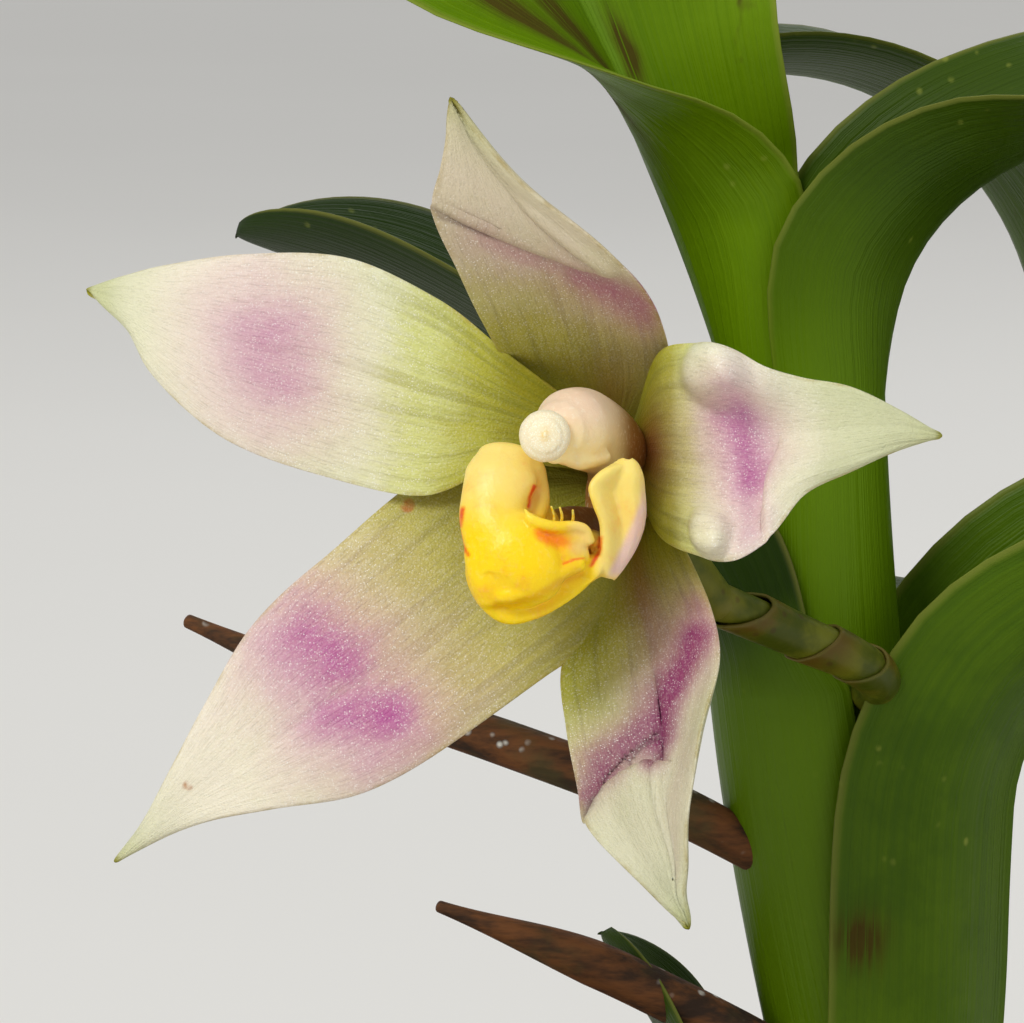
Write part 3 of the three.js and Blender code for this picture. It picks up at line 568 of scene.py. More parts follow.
def clay_finish(colour):
    """Fired clay: grains, darker damp clouds low down, and a chalky bloom of minerals in drifts."""
    f = Finish("fired_clay", roughness=0.9)
    place = f.object_place()
    height = f.node("ShaderNodeSeparateXYZ", {0: place}, out=2)
    clouds = f.noise(place, 38, 5, 0.62)
    grain = f.noise(place, 1500, 3, 0.7)
    bands = f.noise(f.stretched(place, (6, 6, 190)), 1, 3, 0.6)
    drift = f.noise(f.stretched(place, (1, 1, 2.2)), 62, 6, 0.68)
    bloom = f.step(drift + f.step(height, 0.02, 0.075) * 0.09, 0.53, 0.76) * 0.34
    deep = tuple(c * 0.62 for c in colour)
    body = f.blend(f.step(clouds, 0.3, 0.72), deep, colour)
    body = f.blend(f.step(grain, 0.35, 0.7) * 0.28, body, tuple(min(c * 1.5, 1) for c in colour))
    body = f.blend(f.step(bands, 0.45, 0.75) * 0.16, body, srgb(150, 78, 48))
    body = f.blend(bloom, body, srgb(222, 200, 180))
    bump = f.relief(grain * 0.6 + bands * 0.9 + clouds * 0.7, 0.22)
    return f.done(base_color=body, roughness=0.96 - grain * 0.14, normal=bump)


class ORCHID_OT_pot(bpy.types.Operator):
    """Makes the clay pot with its rim band and drain holes"""

    bl_idname = "orchid.pot"
    bl_label = "Pot"

    def execute(self, context):
        s = context.scene.orchid.pot
        form = Form()
        form.add(*turned(finer(pot_profile(s.wall / MM), PROFILE_STEP), POT_SIDES))
        pot = form.piece("clay_pot")
        cutters = []
        for k in range(DRAIN_COUNT):
            turn = 2 * math.pi * (k + 0.5) / DRAIN_COUNT
            x, y = DRAIN_RING * math.cos(turn), DRAIN_RING * math.sin(turn)
            hole = Form()
            ends = [(x, y, z, DRAIN_RADIUS) for z in (-DRAIN_REACH, POT_FLOOR + DRAIN_REACH)]
            add_tube(hole, ends, 3, DRAIN_SIDES)
            cutters.append(hole.piece(f"drain_{k}"))
        cut_by(pot, cutters)
        pot.data.set_sharp_from_angle(angle=SHARP_ANGLE)
        dressed(pot, ["pot"], clay_finish(s.clay))
        return {"FINISHED"}


# Bark

BARK_TOP = 73.0
BARK_REACH = 40.4
CHIP_CELLS = (6, 4, 2)
BED_DROP = 0.8  # how far the bed under the chips lies below the bark's top
BED_LIFT = 0.3  # and above the pot's floor
BED_INSET = 4.3  # and in from the pot's outer side
BED_SIDES = 96


def block_lattice(cells):
    """The surface of a unit block cut into cells: its points from -1 to 1 and its quads."""
    numbers = {}
    faces = []
    for axis in range(3):
        a, b = (axis + 1) % 3, (axis + 2) % 3
        for side in (0, cells[axis]):
            for i in range(cells[a]):
                for j in range(cells[b]):
                    quad = []
                    for di, dj in ((0, 0), (1, 0), (1, 1), (0, 1)):
                        spot = [0, 0, 0]
                        spot[axis], spot[a], spot[b] = side, i + di, j + dj
                        quad.append(numbers.setdefault(tuple(spot), len(numbers)))
                    faces.append(quad if side else quad[::-1])
    points = np.array(list(numbers), float)
    return 2 * points / np.array(cells) - 1, faces


def bark_chips(count, length, seed=11):
    """Rough blocks, laid at golden angles out from the middle, tilted and sunk to uneven depths.

    A chip is a block whose corners are rounded off by a power rule, whose faces are roughened by seeded waves
    along its grain, and whose ends are stepped like torn bark.
    """
    random = np.random.default_rng(seed)
    block, faces = block_lattice(CHIP_CELLS)
    reach = np.sqrt((np.arange(count) + 0.5) / count)
    turn = np.arange(count) * math.pi * (3 - math.sqrt(5))
    size = length * random.uniform(0.5, 1.15, (count, 1)) * np.array([0.5, 0.33, 0.15])
    size = size * random.uniform(0.75, 1.25, (count, 3))
    rounding = 1 - 0.1 * np.linalg.norm(block, axis=1, keepdims=True) ** 2 / 3
    local = block[None] * rounding[None] * size[:, None]
    phase = random.uniform(0, 6.3, (count, 1))
    x, y = local[..., 0], local[..., 1]
    at_end = np.abs(block[:, 0]) > 0.9
    torn = 0.12 * size[:, :1] * np.sign(x) * np.sin(9 * y / size[:, 1:2] + phase) * at_end
    ridged = 0.22 * size[:, 2:3] * np.sin(7 * y / size[:, 1:2] + 1.5 * x / size[:, :1] + phase)
    bowed = -0.5 * size[:, 2:3] * (block[:, 1] ** 2)[None]
    local = local + np.stack([torn, 0.06 * size[:, 1:2] * np.sin(3 * x + phase), ridged + bowed], -1)
    local = local + random.normal(0, 0.14, local.shape)
    spin, pitch, roll = random.uniform(0, 2 * math.pi, count), *random.normal(0, 0.3, (2, count))
    axes = rotations(spin, pitch, roll)
    placed = np.einsum("cij,cpj->cpi", axes, local)
    rim = BARK_REACH - 0.55 * length
    centre = np.stack([rim * reach * np.cos(turn), rim * reach * np.sin(turn)], -1)
    lift = random.uniform(-2.2, 2.6, count)
    placed += np.concatenate([centre, (BARK_TOP + lift)[:, None]], -1)[:, None]
    shade = np.repeat(random.uniform(0, 1, count), len(block))
    quads = np.array(faces)[None] + (np.arange(count) * len(block))[:, None, None]
    moved = random.uniform(0, 1, (count, 1, 2)).repeat(len(block), 1).reshape(-1, 2)
    grain = local[..., :2].reshape(-1, 2) * 0.05 + moved
    return placed.reshape(-1, 3), quads.reshape(-1, 4).tolist(), grain, shade


def rotations(spin, pitch, roll):
    """Rotation matrices: roll about X, then pitch about Y, then spin about Z."""
    cs, ss, cp, sp, cr, sr = (g(a) for a in (spin, pitch, roll) for g in (np.cos, np.sin))
    zero, one = np.zeros_like(cs), np.ones_like(cs)
    about_z = np.array([[cs, -ss, zero], [ss, cs, zero], [zero, zero, one]])
    about_y = np.array([[cp, zero, sp], [zero, one, zero], [-sp, zero, cp]])
    about_x = np.array([[one, zero, zero], [zero, cr, -sr], [zero, sr, cr]])
    return np.einsum("ijc,jkc,klc->cil", about_z, about_y, about_x)


def bark_bed():
    """The body of the bark under its chips: a turned plug with an uneven top."""
    top = BARK_TOP - BED_DROP
    foot = POT_FLOOR + BED_LIFT
    rise = np.linspace(foot, top, 12)
    side = np.stack([pot_outside(rise) - BED_INSET, rise], -1)
    across = np.linspace(pot_outside(top) - BED_INSET, 0, 26)[1:]
    over = np.stack([across, np.full(len(across), top)], -1)
    grid, faces = turned(np.concatenate([[[0, foot]], side, over]), BED_SIDES)
    lifted = (grid[..., 2] > top - 0.01) * 0.9 * ripple(0.5 * grid[..., 0], 0.5 * grid[..., 1], 5, 7)
    grid[..., 2] += np.minimum(lifted, 0.6)
    return grid, faces


def bark_finish(colour):
    """Damp bark: dark outer bark, redder torn wood along the grain, and pale dry edges."""
    f = Finish("fir_bark", roughness=0.92)
    place = f.object_place()
    _, _, grain_place = f.form_place()
    shade = f.mark("shade")
    fibre = f.noise(f.stretched(grain_place, (16, 150, 1)), 1, 4, 0.65)
    lumps = f.noise(place, 420, 4, 0.6)
    layers = f.noise(place, 95, 3, 0.5)
    dark = tuple(c * 0.34 for c in colour)
    warm = srgb(136, 84, 54)
    body = f.blend(f.step(fibre, 0.32, 0.68), dark, colour)
    body = f.blend(f.step(shade, 0.35, 0.95) * f.step(layers, 0.35, 0.62), body, warm)
    body = f.blend(f.step(lumps, 0.58, 0.78) * 0.35, body, srgb(168, 134, 100))
    bump = f.relief(fibre * 1.0 + lumps * 0.8, 0.5)
    return f.done(base_color=body, roughness=0.98 - lumps * 0.25, normal=bump)


class ORCHID_OT_bark(bpy.types.Operator):
    """Makes the bark that fills the pot, with chips on top"""

    bl_idname = "orchid.bark"
    bl_label = "Bark"

    def execute(self, context):
        s = context.scene.orchid.bark
        form = Form()
        form.add(*bark_bed(), shade=0.1)
        points, quads, grain, shade = bark_chips(s.chips, s.length / MM)
        form.add(points, quads, grain, shade=shade)
        dressed(form.piece("bark_chips"), ["bark_mix"], bark_finish(s.colour))
        return {"FINISHED"}


# Rhizome and roots

RHIZOME_Z = 71.6
RHIZOME_RADIUS = 2.9
RHIZOME_LINE = [
    (-19, -10, RHIZOME_Z - 1.5, 1.6),
    (-14, -7, RHIZOME_Z, RHIZOME_RADIUS * 0.85),
    (0, -2, RHIZOME_Z - 0.6, RHIZOME_RADIUS * 0.8),
    (13, 3, RHIZOME_Z, RHIZOME_RADIUS),
    (18, 12, RHIZOME_Z - 0.6, RHIZOME_RADIUS * 0.9),
    (20, 22, RHIZOME_Z, RHIZOME_RADIUS),
    (20, 29, RHIZOME_Z - 1.5, 1.8),
]
# Each root: where it starts, where it is highest, where it dives in, and its radius.
ROOTS = [
    ((6, 0), (1, -16), (2, -31), 1.5),
    ((-8, -4), (-16, -18), (-20, -27), 1.35),
    ((-4, -3), (-18, 8), (-30, 14), 1.4),
    ((8, 2), (-2, 18), (-10, 31), 1.45),
    ((17, 10), (27, -6), (29, -16), 1.35),
]
ROOT_CREST = BARK_TOP + 2.6
# Grids of tubes are (rings along, points round).
RHIZOME_GRID = (90, 28)
ROOT_GRID = (60, 16)


def root_line(start, over, dive, radius):
    """A root leaves the rhizome, crosses the top of the bark and dives into it, swelling a little."""
    half = [mix(start[k], over[k], 0.45) for k in (0, 1)]
    return [
        (*start, RHIZOME_Z, radius),
        (*half, ROOT_CREST - 1, radius * 1.02),
        (*over, ROOT_CREST, radius),
        (*dive, BARK_TOP - 1.5, radius),
        (dive[0] * 1.05, dive[1] * 1.05, BARK_TOP - 9, radius * 0.8),
    ]


def root_finish():
    """Spongy grey root skin with fine lengthwise furrows, greener where it is young, and brown scars."""
    f = Finish("root_skin", roughness=0.8)
    along, _, _ = f.form_place()
    place = f.object_place()
    cloud = f.noise(place, 260, 4, 0.6)
    fine = f.noise(place, 1900, 3, 0.6)
    body = f.blend(f.step(cloud, 0.35, 0.65), srgb(138, 134, 104), srgb(186, 182, 158))
    body = f.blend(f.step(along, 0.55, 0.95) * 0.5, body, srgb(132, 142, 74))
    body = f.blend(f.step(f.noise(place, 130, 3, 0.6), 0.58, 0.72) * 0.7, body, srgb(96, 74, 48))
    bump = f.relief(cloud * 1.0 + fine * 0.5, 0.16)
    return f.done(base_color=body, roughness=0.9 - fine * 0.25, normal=bump)


class ORCHID_OT_rhizome(bpy.types.Operator):
    """Makes the creeping rhizome with its roots"""

    bl_idname = "orchid.rhizome"
    bl_label = "Rhizome"

    def execute(self, context):
        form = Form()
        add_tube(form, RHIZOME_LINE, *RHIZOME_GRID, flat=(0, 0, 1))
        for start, over, dive, radius in ROOTS:
            across = (start[1] - over[1], over[0] - start[0], 0)
            add_tube(form, root_line(start, over, dive, radius), *ROOT_GRID, flat=across)
        dressed(form.piece("rhizome_and_roots"), ["rhizome"], root_finish())
        return {"FINISHED"}


# Shoots

SHEATH_BASE = 74.5
FIT = 0.3
SHELL = 0.7
PITCH = SHELL + FIT
MOUTH_WRAP = 108.0
SHEATH_SHARE = 0.4
CLOSED = 24.0
KEEL_STEPS = 240
LEAF_COLUMNS = 37
LEAF_ROWS = 90
LONG_LEAF_ROWS = 150
LONG_BLADE = 60
STEM_GRID = (60, 28)

SHOOTS = {
    "main": dict(
        base=(13, 3), leans=((-0.3, -0.03), (-0.1, 0)), facing=0,
        foot=2.8, neck=1.3, top=2.3, swell=8, height=50,
    ),
    "older": dict(
        base=(20, 22), leans=((0.16, 0.1), (0.02, 0.06)), facing=14,
        foot=2.9, neck=1.5, top=1.8, swell=8, height=26,
    ),
    "young": dict(
        base=(-14, -7), leans=((-0.25, -0.1), (-0.1, -0.02)), facing=200,
        foot=1.6, neck=1.2, top=1.2, swell=4, height=8,
    ),
}

# What a leaf has unless its own list says otherwise. "tone" runs from 0, the newest green, to 1, the oldest.
LEAF = {
    "wrap": 150,
    "waist": 0.62,
    "widens": 0.36,
    "opens": 0.36,
    "gape": 72,
    "point": 3.4,
    "wave": 0.5,
    "twist": ((0, 0), (1, 0)),
    "tone": 0.5,
    "mottle": 0.2,
    "scars": (),
}

# rank 1 points along the shoot's facing and rank -1 the other way; the highest level is the outermost sheath.
# "bend" lists how far the keel leans away from the shoot, in degrees, at shares of the blade's length.
LEAVES = {
    "leaf_main_lowest": dict(
        shoot="main", rank=-1, level=4.25, mouth=18, blade=23, width=6.5,
        bend=((0, 1), (1, 22)), waist=0.8, wrap=130, point=5, tone=0.75,
    ),
    "leaf_main_low": dict(
        shoot="main", rank=1, level=3, mouth=26, blade=104, width=11,
        bend=((0, 18), (0.1, 12), (0.16, 14), (0.27, 80), (1, 138)),
        twist=((0, 0), (0.22, 0), (0.36, -14), (1, -20)), waist=0.85, opens=0.5, tone=0.42, mottle=0.9,
        scars=(((0.45, 0.8), (0.007, 0.12)), ((0.464, -0.88), (0.007, 0.1))),
    ),
    "leaf_main_left": dict(
        shoot="main", rank=-1, level=2, mouth=50, blade=34, width=9,
        bend=((0, 11), (1, 70)), point=5, gape=62, tone=0.95,
    ),
    "leaf_main_right": dict(
        shoot="main", rank=1, level=1, mouth=64, blade=112, width=11,
        bend=((0, 6), (0.04, 16), (0.08, 42), (0.12, 64), (0.3, 84), (1, 128)),
        twist=((0, 0), (0.05, 0), (0.14, -10), (1, -14)), waist=0.68, widens=0.6, opens=0.18, tone=0.82,
        mottle=0.5,
    ),
    "leaf_main_top": dict(
        shoot="main", rank=-1, level=0, mouth=64, blade=128, width=11.5,
        bend=((0, 14), (0.1, 21), (0.3, 20), (1, 46)),
        twist=((0, 0), (0.07, 0), (0.13, 42), (0.2, 66), (1, 80)), waist=0.5, widens=0.2, opens=0.2, tone=0.0,
        mottle=0.35,
        scars=(((0.489, 0.3), (0.02, 0.1)), ((0.5, 0.62), (0.016, 0.12)), ((0.484, -0.1), (0.008, 0.05))),
    ),
    "leaf_older_dry": dict(
        shoot="older", rank=-1, level=4.2, mouth=8, blade=9, width=5.5,
        bend=((0, 6), (1, 30)), waist=0.9, wrap=125,
    ),
    "leaf_older_low": dict(
        shoot="older", rank=1, level=3, mouth=13, blade=78, width=10,
        bend=((0, 8), (0.3, 50), (1, 118)), wrap=130, tone=0.9, mottle=0.6,
    ),
    "leaf_older_left": dict(
        shoot="older", rank=-1, level=2, mouth=18, blade=42, width=8.5,
        bend=((0, 3), (0.5, 8), (0.78, 66), (1, 112)), point=4, wrap=135, tone=0.8,
    ),
    "leaf_older_right": dict(
        shoot="older", rank=1, level=1, mouth=26, blade=112, width=11.5,
        bend=((0, 12), (0.2, 26), (1, 104)), tone=0.75,
    ),
    "leaf_older_top": dict(
        shoot="older", rank=-1, level=0, mouth=38, blade=57, width=9.5,
        bend=((0, 2), (0.5, 10), (0.75, 60), (1, 120)), point=4, tone=0.7,
    ),
    "leaf_young_low": dict(
        shoot="young", rank=1, level=2, mouth=4, blade=10, width=4,
        bend=((0, 8), (1, 40)), waist=0.9, wrap=120, tone=0.15,
    ),
    "leaf_young_mid": dict(
        shoot="young", rank=-1, level=1, mouth=8, blade=16, width=4.6,
        bend=((0, 4), (1, 34)), waist=0.8, wrap=130, tone=0.05,
    ),
    "leaf_young_top": dict(
        shoot="young", rank=1, level=0, mouth=13, blade=17, width=4,
        bend=((0, 2), (1, 24)), waist=0.8, tone=0.0,
    ),
}


def shoot_frame(shoot, h):
    """A shoot's middle line and its own three directions at heights h.

    The line's slope runs straight from the first lean to the second, so its place is the sum of those slopes.
    """
    first, second = (np.array(lean, float) for lean in shoot["leans"])
    reach = (np.maximum(h, 0) / shoot["height"])[:, None]
    lean = first + (second - first) * reach
    shift = h[:, None] * (first + (second - first) * reach / 2)
    centre = np.column_stack([np.array(shoot["base"]) + shift, SHEATH_BASE + h])
    axis = unit(np.column_stack([lean, np.ones(len(h))]))
    turn = math.radians(shoot["facing"])
    facing = np.array([math.cos(turn), math.sin(turn), 0])
    out = unit(facing - axis * (axis @ facing)[:, None])
    return centre, axis, out, np.cross(axis, out)


def core(shoot, h):
    """The bare stem's half-width and half-depth: a swollen foot, a slim neck and a wider top."""
    swollen = np.exp(-(((np.maximum(h, 0) - shoot["swell"]) / shoot["swell"]) ** 2))
    fan = ease(h, 0.4 * shoot["height"], shoot["height"])
    wide = shoot["neck"] + (shoot["foot"] - shoot["neck"]) * swollen + (shoot["top"] - shoot["neck"]) * fan
    return wide, 0.8 * wide


def leaf_surface(leaf, u, v):
    """The middle surface of a leaf, u along it and v across.

    Its sheath hugs the shoot. From the mouth the keel leaves the shoot at the angles listed in bend, and the
    cross-section turns from a part of an ellipse into a narrow trough and then a fold along the keel.
    """
    shoot = SHOOTS[leaf["shoot"]]
    mouth, blade, rank = leaf["mouth"], leaf["blade"], leaf["rank"]
    shell = FIT + leaf["level"] * PITCH + SHELL / 2
    t = np.maximum((u - SHEATH_SHARE) / (1 - SHEATH_SHARE), 0)
    h = mouth * np.minimum(u / SHEATH_SHARE, 1)
    centre, axis, out, side = shoot_frame(shoot, h)
    out, side = out * rank, side * rank
    wide, deep = core(shoot, np.minimum(h + t * blade, shoot["height"]))
    steps = (np.arange(KEEL_STEPS) + 0.5) / KEEL_STEPS
    lean = np.radians(listed(leaf["bend"], steps))
    way = np.cos(lean)[:, None] * axis[-1] + np.sin(lean)[:, None] * out[-1]
    mouth_wide, _ = core(shoot, np.array([float(mouth)]))
    start = centre[-1] + out[-1] * (mouth_wide[0] + shell)
    keel = np.vstack([start, start + np.cumsum(way * blade / KEEL_STEPS, axis=0)])
    places = np.arange(KEEL_STEPS + 1)
    along_keel = np.stack([np.interp(t * KEEL_STEPS, places, keel[:, k]) for k in range(3)], -1)
    root = np.where((t > 0)[:, None], along_keel, centre + out * (wide + shell)[:, None])
    angle = np.radians(listed(leaf["bend"], t)) * ease(t, 0, 0.05)
    away = out * np.cos(angle)[:, None] - axis * np.sin(angle)[:, None]
    half = leaf["width"] * mix(leaf["waist"], 1, ease(t, 0, leaf["widens"]))
    w = np.maximum(half * np.maximum(1 - t ** leaf["point"], 0) ** 0.62, 0.3)[:, None]
    t, h = t[:, None], h[:, None]
    wide, deep = wide[:, None] + shell, deep[:, None] + shell
    turn = v * np.radians(mix(leaf["wrap"], MOUTH_WRAP, h / mouth))
    gape = np.radians(mix(CLOSED, leaf["gape"], ease(t, 0.12 * leaf["opens"], 1.15 * leaf["opens"])))
    wave = leaf["wave"] * np.sin(9 * t + 2 * v) * v * v * ease(t, 0.2, 0.5)
    lift = w * np.abs(v) ** 1.25 * np.cos(gape) - wave
    hug = wide * (1 - np.cos(turn)), deep * np.sin(turn)
    trough = lift, deep * np.sin(np.clip(1.6 * v, -1, 1) * np.pi / 2)
    fold = lift, w * v * np.sin(gape)
    into, opened = ease(t, 0, 0.06), ease(t, 0.2 * leaf["opens"], leaf["opens"])
    inward, sideways = (mix(mix(hug[k], trough[k], into), fold[k], opened) for k in (0, 1))
    twist = np.radians(listed(leaf["twist"], t))
    return (
        root[:, None]
        + side[:, None] * (sideways * np.cos(twist) + inward * np.sin(twist))[..., None]
        + away[:, None] * (sideways * np.sin(twist) - inward * np.cos(twist))[..., None]
    )


def leaf_body(leaf, thickness):
    """A leaf's places and half thickness: thinner towards its edges and tip, with a keel along the rib."""
    rows = np.linspace(0, 1, LONG_LEAF_ROWS if leaf["blade"] > LONG_BLADE else LEAF_ROWS)
    u = np.unique(np.concatenate([rows, 1 - 0.02 * np.linspace(0, 1, 8) ** 2, [SHEATH_SHARE]]))
    v = np.sin(np.linspace(-1, 1, LEAF_COLUMNS) * np.pi / 2)
    surface = leaf_surface(leaf, u, v)
    blade = ease(u, SHEATH_SHARE, SHEATH_SHARE + 0.06)[:, None]
    margin = np.sqrt(np.maximum(1 - np.abs(v) ** 6, 0))
    tip = np.sqrt(np.maximum(1 - u**40, 0))[:, None]
    slim = mix(1.0, 1 - 0.35 * np.abs(v) ** 1.5, blade)
    return surface, 0.5 * thickness * slim * margin * np.maximum(tip, 0.2), u, v


def leaf_finish(name, s, leaf):
    """A leaf's skin: green between young and old, fine parallel veins, a pale rib and edge, yellow flecks and
    brown marks, and a waxy gloss broken by the veins."""
    f = Finish(name, roughness=0.42, specular_ior_level=0.13)
    along, across, form = f.form_place()
    place = f.object_place()
    mottle = leaf["mottle"]
    green = tuple(mix(a, b, leaf["tone"]) for a, b in zip(s.young, s.old))
    deep = tuple(c * k for c, k in zip(green, (0.5, 0.6, 0.55)))
    light = tuple(min(c * k, 1) for c, k in zip(green, (1.45, 1.28, 1.2)))
    middle = f.math("ABSOLUTE", across - 0.5) * 2
    stripes = f.noise(f.stretched(form, (2.2, 46, 1)), 1, 3, 0.6)
    hair = f.noise(f.stretched(form, (3.0, 170, 1)), 1, 2, 0.5)
    clouds = f.noise(place, 55, 4, 0.55)
    body = f.blend(f.step(clouds, 0.32, 0.68), deep, light)
    body = f.blend(0.55, body, green)
    body = f.blend(f.step(stripes, 0.4, 0.66) * 0.3, body, light)
    body = f.blend(f.step(hair, 0.52, 0.6) * 0.16, body, deep)
    patches = f.step(f.noise(place, 150, 5, 0.66), 0.5, 0.66) * (0.5 * mottle)
    body = f.blend(patches, body, deep)
    rib = f.step(middle, 0.1, 0.015) * 0.45
    body = f.blend(rib, body, tuple(min(c * 1.5 + 0.02, 1) for c in green))
    body = f.blend(f.step(middle, 0.95, 0.995) * 0.35, body, srgb(150, 148, 70))
    dots = f.cells(f.stretched(place, (1, 1, 0.8)), 820)
    sparse = f.step(f.noise(place, 210, 3, 0.6), 0.56, 0.64)
    body = f.blend(f.step(dots, 0.2, 0.06) * sparse * (0.2 + 0.3 * mottle), body, srgb(158, 166, 70))
    scorch = f.step(f.noise(f.stretched(place, (1, 1, 0.45)), 120, 5, 0.7), 0.665, 0.72) * 0.75
    for at, size in leaf["scars"]:
        torn = f.spot(along + (stripes - 0.5) * 0.02, across * 2 - 1 + (clouds - 0.5) * 0.5, at, size)
        scorch = scorch + torn * f.step(hair + stripes, 0.7, 1.0) * 1.3
    scorch = f.math("MINIMUM", scorch, 0.85)
    body = f.blend(scorch, body, srgb(70, 46, 14))
    sheath = f.step(along + (clouds - 0.5) * 0.08, SHEATH_SHARE + 0.07, SHEATH_SHARE - 0.03)
    body = f.blend(sheath * 0.85, body, srgb(96, 130, 1))
    body = f.blend(f.step(along, SHEATH_SHARE * 0.35, 0.05) * 0.5, body, srgb(150, 140, 84))
    bump = f.relief(hair * 0.4 + stripes * 1.0, 0.09)
    bump = f.relief(f.noise(place, 2600, 2, 0.5), 0.02, under=bump)
    return f.done(base_color=body, roughness=0.34 + stripes * 0.2 + scorch * 0.3, normal=bump)


def dry_finish():
    """Dry papery sheath: fibres, torn pale patches and dark stains."""
    f = Finish("dry_sheath_skin", roughness=0.9)
    place = f.object_place()
    _, _, form = f.form_place()
    fibre = f.noise(f.stretched(form, (3, 120, 1)), 1, 4, 0.65)
    stain = f.noise(place, 260, 4, 0.6)
    body = f.blend(f.step(fibre, 0.34, 0.68), srgb(92, 66, 38), srgb(172, 142, 98))
    body = f.blend(f.step(stain, 0.5, 0.68) * 0.6, body, srgb(66, 46, 28))
    return f.done(base_color=body, normal=f.relief(fibre + stain * 0.5, 0.22))


class ORCHID_OT_leaves(bpy.types.Operator):
    """Makes every leaf with its sheath"""

    bl_idname = "orchid.leaves"
    bl_label = "Leaves"

    def execute(self, context):
        s = context.scene.orchid.leaf
        for node, own in LEAVES.items():
            leaf = {**LEAF, **own}
            form = Form()
            add_sheet(form, *leaf_body(leaf, s.thickness / MM))
            piece = form.piece(node.replace("leaf_", "strap_leaf_"))
            if node.endswith("dry"):
                dressed(piece, [node], dry_finish())
            else:
                dressed(piece, [node], leaf_finish(f"{node}_skin", s, leaf))
        return {"FINISHED"}


def stem_finish():
    """Smooth green stem, paler in soft bands."""
    f = Finish("stem_skin", roughness=0.5)
    place = f.object_place()
    cloud = f.noise(f.stretched(place, (1, 1, 0.3)), 320, 4, 0.6)
    body = f.blend(f.step(cloud, 0.35, 0.65), srgb(86, 108, 36), srgb(142, 152, 70))
    return f.done(base_color=body, roughness=0.6 - cloud * 0.2, normal=f.relief(cloud, 0.1))


class ORCHID_OT_stems(bpy.types.Operator):
    """Makes the stems inside the sheaths"""

    bl_idname = "orchid.stems"
    bl_label = "Stems"

    def execute(self, context):
        skin = stem_finish()
        for name, shoot in SHOOTS.items():
            h = np.linspace(-0.5, shoot["height"] - 0.6, 14)
            centre, _, _, side = shoot_frame(shoot, h)
            wide, deep = core(shoot, h)
            form = Form()
            stations = np.column_stack([centre, wide, deep / wide]).tolist()
            add_tube(form, stations, *STEM_GRID, flat=side[0])
            dressed(form.piece(f"inner_stem_{name}"), [f"stem_{name}"], skin)
        return {"FINISHED"}


# Flower, in its own frame: x to the right, y into the flower, z up, as seen square on from the front

FLOWER_PLACE = np.array([-8.0, -24.0, 138.0])
FLOWER_NOD = math.radians(8)
TEPAL_ROWS = 170
TEPAL_COLUMNS = 71


def from_flower(points):
    """Turns points of the flower's frame forward by its nod and moves them to its place on the plant."""
    x, y, z = np.moveaxis(np.asarray(points, float), -1, 0)
    c, s = math.cos(FLOWER_NOD), math.sin(FLOWER_NOD)
    return np.stack([x, c * y + s * z, c * z - s * y], -1) + FLOWER_PLACE


# Each petal or sepal lies on three curves from its base to its tip: one edge, the rib and the other edge.
# Its length and half-width are in millimetres. u runs from 0 to 1 along it, and v from -1 to 1 across it.
# Bumps, and the steeper knobs, are (u, v), size (u, v) and push (x, y, z).
# Folds are a line of (v, u), how far the part beyond it stands forward, over what width and how far out, and
# the range of v that it fades in over.
# Ridges are a line of (u, v), a width, a height and how dark the painted shade in their crease is.
# Blotches are a line of (u, v), a radius and a strength.
# Foot shade is brown spots of painted shade near the foot, where the throat is in shade: each (u, v), size
# (u, v) and a strength.
# Rib is the depth of the groove along the middle, and spread is how much wider the foot is than its edges.
# Shift moves the colours that run from foot to tip: a scale, a start and a slant across.
# Mauve multiplies the colour of the blotches, and painted_shade the colour of all that lies beyond the foot,
# as painted shade.
# This is what a petal or sepal has unless its own list says otherwise.
TEPAL = dict(
    knobs=(), bumps=(), folds=(), ridges=(), foot_shade=(),
    rib=0.09, spread=0.0, shift=(1, 0, 0), mauve=(1, 1, 1), painted_shade=None,
)
